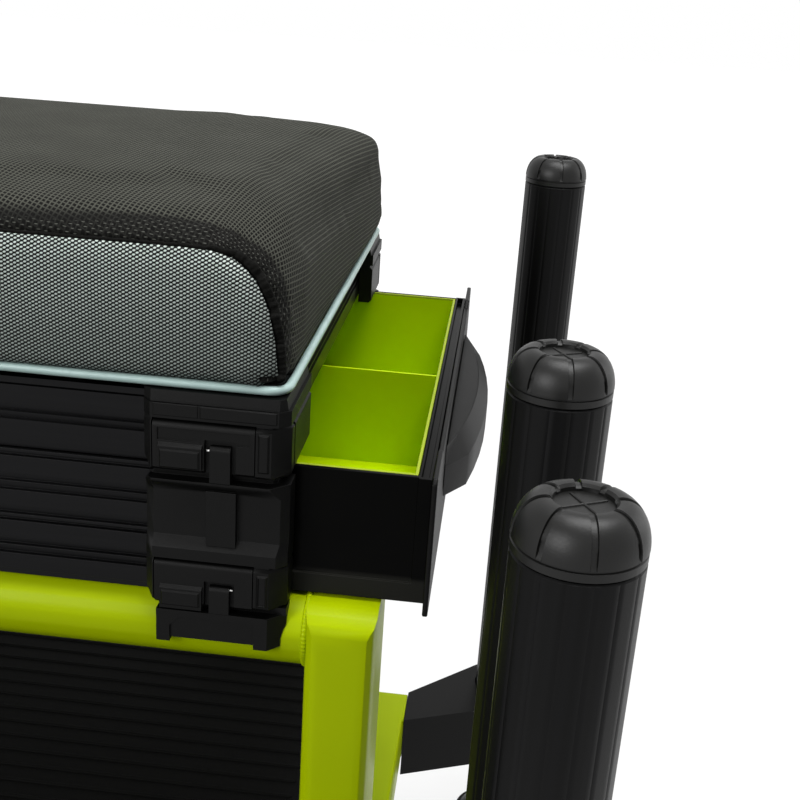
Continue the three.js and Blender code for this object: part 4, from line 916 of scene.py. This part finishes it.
def end_panel(tree, line, end, name):
    """The pale panel that fills the seam's outline."""
    lift = Vector((0, end * PANEL_LIFT, 0))
    foot = CUSHION_LOW.z + PANEL_FOOT
    spokes, steps = len(line), 26
    points = [on_end(tree, 0.0, foot, end)[0] + lift]
    for step in range(1, steps + 1):
        share = step / steps
        for across, up in line:
            height = max(foot, CUSHION_LOW.z + (up - CUSHION_LOW.z) * share)
            points.append(on_end(tree, across * share, height, end)[0] + lift)
    faces = [(0, 1 + i, 2 + i) for i in range(spokes - 1)]
    for step in range(steps - 1):
        a, b = 1 + step * spokes, 1 + (step + 1) * spokes
        faces += [(a + i, b + i, b + i + 1, a + i + 1) for i in range(spokes - 1)]
    mesh = bpy.data.meshes.new(name)
    mesh.from_pydata([tuple(p) for p in points], [], faces if end > 0 else [face[::-1] for face in faces])
    panel = piece_of(name, mesh, "panel_cloth", "lid", smooth=0)
    thick = panel.modifiers.new("cloth thickness", "SOLIDIFY")
    thick.thickness = PANEL_THICKNESS
    thick.offset = -1


def end_binding(tree, settings, end, name):
    """The folded cloth along the seam: thin above the panel, wide and gathered at its sides."""
    foot = CUSHION_LOW.z + 0.9 * MM
    rows = [on_end(tree, across, max(up, foot), end) for across, up in seam_line(samples=420)]
    rings = []
    for i, (place, outward) in enumerate(rows):
        ahead = (rows[min(i + 1, len(rows) - 1)][0] - rows[max(i - 1, 0)][0]).normalized()
        out = (outward - ahead * outward.dot(ahead)).normalized()
        aside = ahead.cross(out).normalized()
        if aside.dot(Vector((place.x, 0, place.z - CUSHION_LOW.z + 60 * MM))) < 0:
            aside.negate()
        steep = min(1, abs(ahead.z) * 1.3)
        ripple = 0.4 * math.sin(i * 1.71) + 0.35 * math.sin(i * 0.67 + 1) + 0.25 * math.sin(i * 2.9 + 2)
        width = settings.binding_radius * (0.6 + 0.1 * ripple + steep)
        height = settings.binding_radius * (0.5 + 0.2 * steep + (0.12 + 0.4 * steep) * ripple)
        middle = place + aside * (width * 0.9) + out * 0.5 * MM
        ring = [middle + aside * (width * cosine) + out * (height * sine) for cosine, sine in circle(12)]
        for point in ring:
            point.z = max(point.z, CUSHION_LOW.z + 0.2 * MM)
        rings.append(ring)
    skin_piece(name, [skin(rings)], "binding", "lid", smooth=0)


class SEATBOX_OT_cushion(bpy.types.Operator):
    """Pads the seat: pad, end panels and the folded seam round each panel."""

    bl_idname = "seatbox.cushion"
    bl_label = "Cushion"

    def execute(self, context):
        settings = context.scene.seat_box_cushion
        line = seam_line()
        pad = cushion_shape(settings, line)
        seam_pull(pad, settings, line)
        pad.data.materials.append(material_for("top_cloth"))
        pad.data.shade_smooth()
        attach(pad, "lid")
        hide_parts("seat_cushion")
        tree = BVHTree.FromPolygons(*points_and_faces(pad.data))
        for end, side in ((-1, "front"), (1, "rear")):
            end_panel(tree, line, end, f"seat_cushion_{side}_panel")
            end_binding(tree, settings, end, f"seat_cushion_{side}_binding")
        return {"FINISHED"}


class SEATBOX_OT_piping(bpy.types.Operator):
    """Lays the vinyl piping between cushion and seat unit."""

    bl_idname = "seatbox.piping"
    bl_label = "Piping"

    def execute(self, context):
        radius = (PIPING_HIGH.z - PIPING_LOW.z) / 2
        corner, bend_steps, straight_steps = 7.6 * MM, 10, 48
        half_x = PIPING_HIGH.x - radius - corner
        half_y = (PIPING_HIGH.y - PIPING_LOW.y) / 2 - radius - corner
        bends = []
        for quarter, (side, end) in enumerate(((1, 1), (-1, 1), (-1, -1), (1, -1))):
            centre = Vector((side * half_x, end * half_y + BOX_MIDDLE_Y, 0))
            turns = [(quarter + i / bend_steps) * math.pi / 2 for i in range(bend_steps + 1)]
            bends.append([centre + Vector((math.cos(t), math.sin(t), 0)) * corner for t in turns])
        path = []
        for bend, following in zip(bends, bends[1:] + bends[:1]):
            path += bend
            path += [bend[-1].lerp(following[0], i / straight_steps) for i in range(1, straight_steps)]
        # it wanders a little, as a sewn-in piping does
        middle = (PIPING_HIGH.z + PIPING_LOW.z) / 2
        for i, point in enumerate(path):
            point.z = middle + 0.1 * MM * math.sin(i * 0.71) * math.sin(i * 0.13)
        radii = [radius * (0.985 + 0.015 * math.sin(i * 0.9)) for i in range(len(path))]
        rings = swept(path, radii, 16, hoop=True)
        skin_piece("seat_piping_cord", [skin(rings, hoop=True)], "piping", "lid", ("seat_piping",), 0)
        return {"FINISHED"}


class SEATBOX_OT_units(bpy.types.Operator):
    """Finishes the walls, trays and hinge of both units."""

    bl_idname = "seatbox.units"
    bl_label = "Units"

    def execute(self, context):
        finish = context.scene.seat_box_finish
        for node in ("seat_unit_walls", "drawer_unit_walls", "drawer_unit_floor"):
            fine_copy(node, "extrusion", finish.sheet_edge)
        fine_copy("seat_tray", "tray", finish.casting_edge)
        fine_copy("seat_board", "casting", finish.sheet_edge)
        fine_copy("lid_hinge_pin", "steel", finish.sheet_edge)
        return {"FINISHED"}


# Raised plates on the castings and latches: node, name, left, right, foot, top, rise and sunk depth.
# They are those of the front right corner, from the frame's middle and floor, in millimetres.
PLATES = (
    ("seat_unit_corner_", "stop", 178.3, 182.7, 404.9, 420.7, 0.8, 0.0),
    ("drawer_unit_corner_", "stop", 178.6, 183.2, 347.4, 361.6, 0.8, 0.5),
    ("seat_unit_corner_", "band_inner", 138.6, 155.6, 424.6, 429.6, 0.3, 0.0),
    ("seat_unit_corner_", "band_outer", 156.3, 185.4, 424.6, 429.6, 0.45, 0.0),
    ("upper_latch_", "thumb_pad", 141.2, 156.6, 404.4, 411.9, 0.7, 0.0),
    ("lower_latch_", "thumb_pad", 141.2, 156.6, 345.4, 352.0, 0.7, 0.0),
)


def face_plate(node, name, left, right, foot, top, rise, sunk):
    """A bevelled plate on a node's outer face, its middle sunk when asked."""
    low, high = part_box(node)
    mirrored = -1 if high.x < 0 else 1
    out = 1 if "_rear_" in node else -1
    face = high.y if out > 0 else low.y
    slope = min(rise, 1.0)
    levels = [(0, -0.4), (0, 0.1 * rise), (0.9 * slope, rise)]
    if sunk:
        levels += [(1.1 * slope, rise), (1.4 * slope, rise - sunk)]
    rings = []
    for inset, lift in levels:
        y = face + out * lift * MM
        x0, x1, z0, z1 = left + inset, right - inset, foot + inset, top - inset
        corners = ((x0, z0), (x1, z0), (x1, z1), (x0, z1))
        rings.append([Vector((mirrored * x * MM, y, z * MM)) for x, z in corners])
    skin_piece(f"{node}_{name}", [skin(rings)], "casting", NODES[node]["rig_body"], smooth=20)


class SEATBOX_OT_castings(bpy.types.Operator):
    """Rounds the corner castings and rail brackets, and raises their plates."""

    bl_idname = "seatbox.castings"
    bl_label = "Castings"

    def execute(self, context):
        edge = context.scene.seat_box_finish.casting_edge
        for corner in CORNERS:
            for kind in ("seat_unit_corner_", "drawer_unit_corner_", "box_bracket_"):
                fine_copy(kind + corner, "casting", edge)
            for kind, *plate in PLATES:
                face_plate(kind + corner, *plate)
        return {"FINISHED"}


# Each kind of latch with the height of its hook's pin, as a share of the latch's own, and the pin's
# reach outwards across the box, in millimetres
HOOKS = (("upper_latch_", 0.54, -5.4), ("lower_latch_", 0.49, 5.4))


class SEATBOX_OT_latches(bpy.types.Operator):
    """Rounds the latches and gives each hook its steel pin."""

    bl_idname = "seatbox.latches"
    bl_label = "Latches"

    def execute(self, context):
        edge = context.scene.seat_box_finish.casting_edge
        for corner in CORNERS:
            for kind, share, reach in HOOKS:
                node = kind + corner
                fine_copy(node, "casting", edge)
                low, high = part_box(node)
                face = high.y - 2.6 * MM if corner.startswith("rear") else low.y + 2.6 * MM
                middle = (low.x + high.x) / 2
                side = math.copysign(1, middle)
                start = Vector((middle + side * 6.4 * MM, face, low.z + (high.z - low.z) * share))
                # only one end of the pin shows beside the hook
                end = start + Vector((side * reach * MM, 0, 0))
                pin = rod(start, end, (0, 0.05, 0.96, 1), 0.25 * MM, 0.45 * MM, 12)
                skin_piece(node + "_pin", [pin], "steel", NODES[node]["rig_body"])
        return {"FINISHED"}


class SEATBOX_OT_drawer(bpy.types.Operator):
    """Finishes the drawer, its liner, front plate and handle."""

    bl_idname = "seatbox.drawer"
    bl_label = "Drawer"

    def execute(self, context):
        finish = context.scene.seat_box_finish
        fine_copy("drawer_tray", "gloss", finish.sheet_edge)
        fine_copy("drawer_liner", "liner", finish.sheet_edge)
        fine_copy("drawer_front_plate", "casting", finish.casting_edge)
        fine_copy("drawer_handle", "casting", 1.2 * MM, steps=3, corner=30)
        return {"FINISHED"}


class SEATBOX_OT_frame(bpy.types.Operator):
    """Finishes the welded rings and lays the weld beads where the front rail meets its posts."""

    bl_idname = "seatbox.frame"
    bl_label = "Frame"

    def execute(self, context):
        finish = context.scene.seat_box_finish
        fine_copy("frame_upper_ring", "enamel", finish.casting_edge)
        fine_copy("frame_lower_ring", "enamel", finish.casting_edge)
        low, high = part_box("frame_upper_ring")
        rail_radius, bead_radius, ripples = 16 * MM, 1.0 * MM, 60
        centre_y, centre_z = low.y + 20 * MM, high.z - rail_radius
        post_inner = high.x - 28.5 * MM
        for side, name in ((-1, "weld_bead_left"), (1, "weld_bead_right")):
            rings = []
            steps = circle(5 * ripples)
            for i, (back, up) in enumerate(steps):
                bead = bead_radius * (1 + 0.1 * math.sin(ripples * 2 * math.pi * i / len(steps)))
                ring = []
                for across, out in circle(8):
                    reach = rail_radius + bead * out
                    x = side * (post_inner - 0.4 * MM) + bead * 1.3 * across
                    ring.append(Vector((x, centre_y + back * reach, centre_z + up * reach)))
                rings.append(ring)
            skin_piece(name, [skin(rings, hoop=True)], "enamel", "frame", smooth=0)
        return {"FINISHED"}


class SEATBOX_OT_footplate(bpy.types.Operator):
    """Finishes the footplate and lays its tread."""

    bl_idname = "seatbox.footplate"
    bl_label = "Footplate"

    def execute(self, context):
        finish = context.scene.seat_box_finish
        fine_copy("footplate_deck", "grit", finish.casting_edge)
        fine_copy("footplate_slide_frame", "extrusion", finish.casting_edge)
        low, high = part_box("footplate_deck")
        margin, pitch, rise = 12 * MM, 12 * MM, 1.1 * MM
        bars = []
        y = low.y + margin
        while y < high.y - margin:
            start, end = (Vector((side * (high.x - margin), y, high.z)) for side in (-1, 1))
            bars.append(rod(start, end, (0, 0.005, 0.995, 1), 0.5 * rise, rise, 10))
            y += pitch
        skin_piece("footplate_tread", bars, "grit", "footplate", smooth=0)
        return {"FINISHED"}


# A leg's tube, and the points between two of its flutes
TUBE_RADIUS, TUBE_WALL, TUBE_LENGTH = 18 * MM, 2 * MM, 400 * MM
FLUTE_STEPS = 8

# Profile below the tube, in millimetres: the foot's rim as its inset and height, the stem as its radius
# and height, and the collar as its radius and height from the tube's lower end
FOOT_RIM = ((1.2, 0), (0, 1.0), (0, 4.2), (0.9, 5.2), (2.4, 5.2))
STEM = ((19, 8.4), (15.5, 12.2), (13.4, 14.6), (12.6, 16.6), (10.4, 18.4), (9, 19.6))
COLLAR = ((9, -3), (10.5, -1.5), (10.5, 0))

# A cap's height, the radius of its dome's top and that of the disc sunk in it
CAP_HEIGHT, CAP_RIM, CAP_DISC = 15 * MM, 10 * MM, 8.2 * MM

# A cap's notched skirt as radius and height, and its sunk middle as distance out from the disc's edge,
# depth and share of the slots' depth, in millimetres
CAP_SKIRT = ((17.4, 0), (17.9, 0.4), (17.9, 2.6), (17.4, 2.9), (17.4, 3.3), (18, 3.6))
CAP_SINK = ((0.7, 0.1, 1), (0, 0.9, 0.6), (-0.1, 2.0, 0), (-0.6, 2.0, 0))


def fluted_ring(radius, height, centre, settings):
    """A ring of flats with a small groove between each two."""
    ring = []
    flat_turn = 2 * math.pi / settings.flutes
    for step in range(settings.flutes * FLUTE_STEPS):
        share = step % FLUTE_STEPS / FLUTE_STEPS - 0.5
        turn = (step // FLUTE_STEPS + share) * flat_turn
        chord = math.cos(flat_turn / 2) / math.cos(share * flat_turn)
        reach = radius * (0.35 + 0.65 * chord)
        if step % FLUTE_STEPS == 0:
            reach -= settings.groove_depth
        ring.append(Vector((
            centre[0] + reach * math.cos(turn), centre[1] + reach * math.sin(turn), height)))
    return ring


def leg_tube(name, settings):
    """A fluted tube on a stem and a round foot."""
    node = "leg_tube_" + name
    low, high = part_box(node)
    centre = ((low.x + high.x) / 2, (low.y + high.y) / 2)
    foot = (high.x - low.x) / 2
    stand = high.z + 0.3 * MM - TUBE_LENGTH
    profile = [(foot - inset * MM, height * MM) for inset, height in FOOT_RIM]
    profile += [(radius * MM, height * MM) for radius, height in STEM]
    profile += [(radius * MM, stand + height * MM) for radius, height in COLLAR]
    bore = [(TUBE_RADIUS - TUBE_WALL, high.z), (TUBE_RADIUS - TUBE_WALL, stand + TUBE_WALL)]
    # round rings start half a flat back, where the fluted ones do
    back = FLUTE_STEPS // 2
    below, inside = (
        [ring[-back:] + ring[:-back] for ring in turned(part, settings.flutes * FLUTE_STEPS, centre)]
        for part in (profile, bore))
    fluted = [
        fluted_ring(TUBE_RADIUS - inset * MM, height, centre, settings)
        for inset, height in ((0.8, stand), (0, stand + 0.8 * MM), (0, high.z - 0.5 * MM), (0.5, high.z))]
    skin_piece(node + "_fluted", [skin(below + fluted + inside)], "tube", "leg_" + name, (node,), 24)


def leg_cap(name, settings):
    """A domed cap with slots down its dome, a notched rim and a sunk disc with a raised cross."""
    node = "leg_cap_" + name
    low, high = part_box(node)
    x, y = (low.x + high.x) / 2, (low.y + high.y) / 2
    top = high.z
    base = top - CAP_HEIGHT
    skirt_radius, skirt_height = (size * MM for size in CAP_SKIRT[-1])
    profile = [(radius * MM, base + height * MM, 0) for radius, height in CAP_SKIRT]
    for i in range(1, 13):
        turn = i / 12 * math.pi / 2
        profile.append((
            CAP_RIM + (skirt_radius - CAP_RIM) * math.cos(turn),
            base + skirt_height + (CAP_HEIGHT - skirt_height) * math.sin(turn), 1))
    profile += [(CAP_DISC + out * MM, top - down * MM, share) for out, down, share in CAP_SINK]
    sector = 2 * math.pi / settings.cap_slots
    between_slots = 7
    rings = []
    for radius, height, slot_share in profile:
        wall = min(0.9, settings.cap_slot_width / 2 / radius)
        depth = settings.cap_slot_depth * slot_share
        stops = [(-wall * 1.25, 0), (-wall, depth), (wall, depth), (wall * 1.25, 0)]
        for k in range(1, between_slots + 1):
            stops.append((wall * 1.25 + (sector - 2.5 * wall) * k / (between_slots + 1), 0))
        # a slot is cut inwards on the dome's side, and mostly downwards near its top
        inward, downward = (1, 0) if height < top - 6 * MM else (0.35, 0.9)
        ring = []
        for slot in range(settings.cap_slots):
            for turn, drop in stops:
                angle = (slot + 0.18) * sector + turn
                reach = radius - drop * inward
                ring.append(Vector((
                    x + reach * math.cos(angle), y + reach * math.sin(angle), height - drop * downward)))
        rings.append(ring)
    parts = [skin(rings)]
    middle = Vector((x, y, top - 2 * MM))
    for turn in (0.5, 0.5 + math.pi / 2):
        arm = Vector((math.cos(turn), math.sin(turn), 0)) * (CAP_DISC - 1.2 * MM)
        parts.append(rod(middle - arm, middle + arm, (0, 0.02, 0.98, 1), 0.2 * MM, 0.45 * MM, 8))
    skin_piece(node + "_slotted", parts, "satin", "leg_" + name, (node,), 32)


class SEATBOX_OT_legs(bpy.types.Operator):
    """Builds the six fluted legs with their feet and caps."""

    bl_idname = "seatbox.legs"
    bl_label = "Legs"

    def execute(self, context):
        for name in LEGS:
            leg_tube(name, context.scene.seat_box_legs)
            leg_cap(name, context.scene.seat_box_legs)
        return {"FINISHED"}


class SEATBOX_OT_clamps(bpy.types.Operator):
    """Rounds the leg blocks and their knobs."""

    bl_idname = "seatbox.clamps"
    bl_label = "Clamps"

    def execute(self, context):
        for name in LEGS:
            fine_copy("leg_block_" + name, "casting", 1.0 * MM, corner=50)
            fine_copy("clamp_knob_" + name, "casting", 0.9 * MM, corner=50)
        return {"FINISHED"}


# Camera of the photograph's view: its lens and sensor in millimetres, its place in millimetres from the
# seat's middle on the floor, and the ways to its right and to its back
CAMERA_LENS, CAMERA_SENSOR = 52.74, 36
CAMERA_PLACE = (260.3, -541.5, 589.0)
CAMERA_RIGHT = (0.9930, 0.1004, 0.0616)
CAMERA_BACK = (0.0722, -0.9322, 0.3546)

# Lamps as name, place and size, and the place they shine at, in metres
LAMPS = (("key", (0.45, -0.1, 2.1), 1.2), ("fill", (-1.1, -1.9, 1.25), 1.1), ("rim", (1.6, 0.6, 0.9), 0.9))
LAMP_AIM = (0.05, 0.05, 0.38)

# The surroundings are brightest this way, behind the box and at its left, as round a studio sweep
BRIGHT_WAY = (-0.75, 0.7, 0.0)

# The floor's half width, and the distances from the box's middle between which it turns white, in metres
FLOOR_HALF = 8.0
FLOOR_SHADED, FLOOR_WHITE = 0.8, 2.0


def backdrop_rays(tree):
    """1 for rays that should meet the white surroundings: seen, mirrored or passed through."""
    shown = 0.0
    for kind in ("Is Camera Ray", "Is Glossy Ray", "Is Transmission Ray"):
        ray = add_node(tree, "LightPath", {}, kind)
        shown = add_node(tree, "Math", {0: shown, 1: ray}, operation="MAXIMUM")
    return shown


def painted_floor():
    """Matt floor paint, rolled: keeps the box's shadow near it and meets the white surroundings far away."""
    material, tree, place = start_material("painted floor pale")
    away = add_node(tree, "VectorMath", {0: place}, "Value", operation="LENGTH")
    whiter = add_node(tree, "MapRange", {
        "Value": away, "From Min": FLOOR_SHADED, "From Max": FLOOR_WHITE, "To Min": 0.84, "To Max": 1.0})
    glow = add_node(tree, "Math", {0: backdrop_rays(tree), 1: whiter}, operation="MULTIPLY")
    return end_material(material, {
        "Base Color": linear("6C6C6C"), "Roughness": 0.9, "Specular IOR Level": 0.1,
        "Emission Color": linear("FFFFFF"), "Emission Strength": glow})


def studio_world(ambient):
    """White surroundings that light the box at the ambient level, more from the bright way."""
    world = bpy.data.worlds.new("studio")
    world.use_nodes = True
    tree = world.node_tree
    tree.nodes.clear()
    way = add_node(tree, "TexCoord", {}, "Generated")
    slope = add_node(tree, "VectorMath", {0: way, 1: BRIGHT_WAY}, "Value", operation="DOT_PRODUCT")
    around = add_node(tree, "MapRange", {
        "Value": slope, "From Min": -1.0, "From Max": 1.0, "To Min": 0.0, "To Max": 2 * ambient})
    level = add_node(tree, "MapRange", {"Value": backdrop_rays(tree), "To Min": around, "To Max": 1.0})
    sky = add_node(tree, "Background", {"Color": linear("FFFFFF"), "Strength": level})
    add_node(tree, "OutputWorld", {"Surface": sky})
    return world


class SEATBOX_OT_stage(bpy.types.Operator):
    """Sets the pale floor, the soft studio light and the camera of the photograph's view."""

    bl_idname = "seatbox.stage"
    bl_label = "Stage"

    def execute(self, context):
        scene = context.scene
        scene.view_settings.view_transform = "Standard"
        corners = [(x * FLOOR_HALF, y * FLOOR_HALF, 0) for x, y in ((-1, -1), (1, -1), (1, 1), (-1, 1))]
        floor = scene_object("floor", mesh_of("floor", corners, [(0, 1, 2, 3)]))
        floor.data.materials.append(painted_floor())
        scene.world = studio_world(scene.seat_box_stage.ambient)

        for name, place, size in LAMPS:
            lamp = bpy.data.lights.new(name, "AREA")
            lamp.energy = getattr(scene.seat_box_stage, name + "_power")
            lamp.size = size
            lamp.shape = "SQUARE"
            holder = scene_object(name, lamp)
            holder.location = place
            holder.rotation_euler = (Vector(LAMP_AIM) - Vector(place)).to_track_quat("-Z", "Y").to_euler()

        camera = bpy.data.cameras.new("camera")
        camera.lens = CAMERA_LENS
        camera.sensor_width = CAMERA_SENSOR
        camera.clip_start = 0.05
        right = Vector(CAMERA_RIGHT).normalized()
        back = Vector(CAMERA_BACK)
        back = (back - right * back.dot(right)).normalized()
        rotation = Matrix((right, back.cross(right), back)).transposed().to_4x4()
        place = Vector(CAMERA_PLACE) * MM + Vector((0, BOX_MIDDLE_Y, 0))
        scene.camera = scene_object("camera", camera)
        scene.camera.matrix_world = Matrix.Translation(place) @ rotation
        return {"FINISHED"}


OPERATORS = (
    SEATBOX_OT_cushion,
    SEATBOX_OT_piping,
    SEATBOX_OT_units,
    SEATBOX_OT_castings,
    SEATBOX_OT_latches,
    SEATBOX_OT_drawer,
    SEATBOX_OT_frame,
    SEATBOX_OT_footplate,
    SEATBOX_OT_legs,
    SEATBOX_OT_clamps,
    SEATBOX_OT_stage,
)


class SEATBOX_PT_panel(bpy.types.Panel):
    """Lists the seat box's settings and operators."""

    bl_label = "Seat box"
    bl_idname = "SEATBOX_PT_panel"
    bl_space_type = "VIEW_3D"
    bl_region_type = "UI"
    bl_category = "Seat box"

    def draw(self, context):
        for group in (context.scene.seat_box_finish, context.scene.seat_box_cushion,
                      context.scene.seat_box_legs, context.scene.seat_box_stage):
            column = self.layout.box().column()
            for name in group.__annotations__:
                column.prop(group, name)
        for operator in OPERATORS:
            self.layout.operator(operator.bl_idname)


GROUPS = {
    "seat_box_finish": FinishSettings,
    "seat_box_cushion": CushionSettings,
    "seat_box_legs": LegSettings,
    "seat_box_stage": StageSettings,
}


def register():
    for group in (*GROUPS.values(), *OPERATORS, SEATBOX_PT_panel):
        bpy.utils.register_class(group)
    for name, group in GROUPS.items():
        setattr(bpy.types.Scene, name, bpy.props.PointerProperty(type=group))


def unregister():
    for name in GROUPS:
        delattr(bpy.types.Scene, name)
    for group in reversed((*GROUPS.values(), *OPERATORS, SEATBOX_PT_panel)):
        bpy.utils.unregister_class(group)


def main():
    register()
    for operator in OPERATORS:
        name = operator.bl_idname.split(".")[1]
        getattr(bpy.ops.seatbox, name)()


if __name__ == "__main__":
    main()
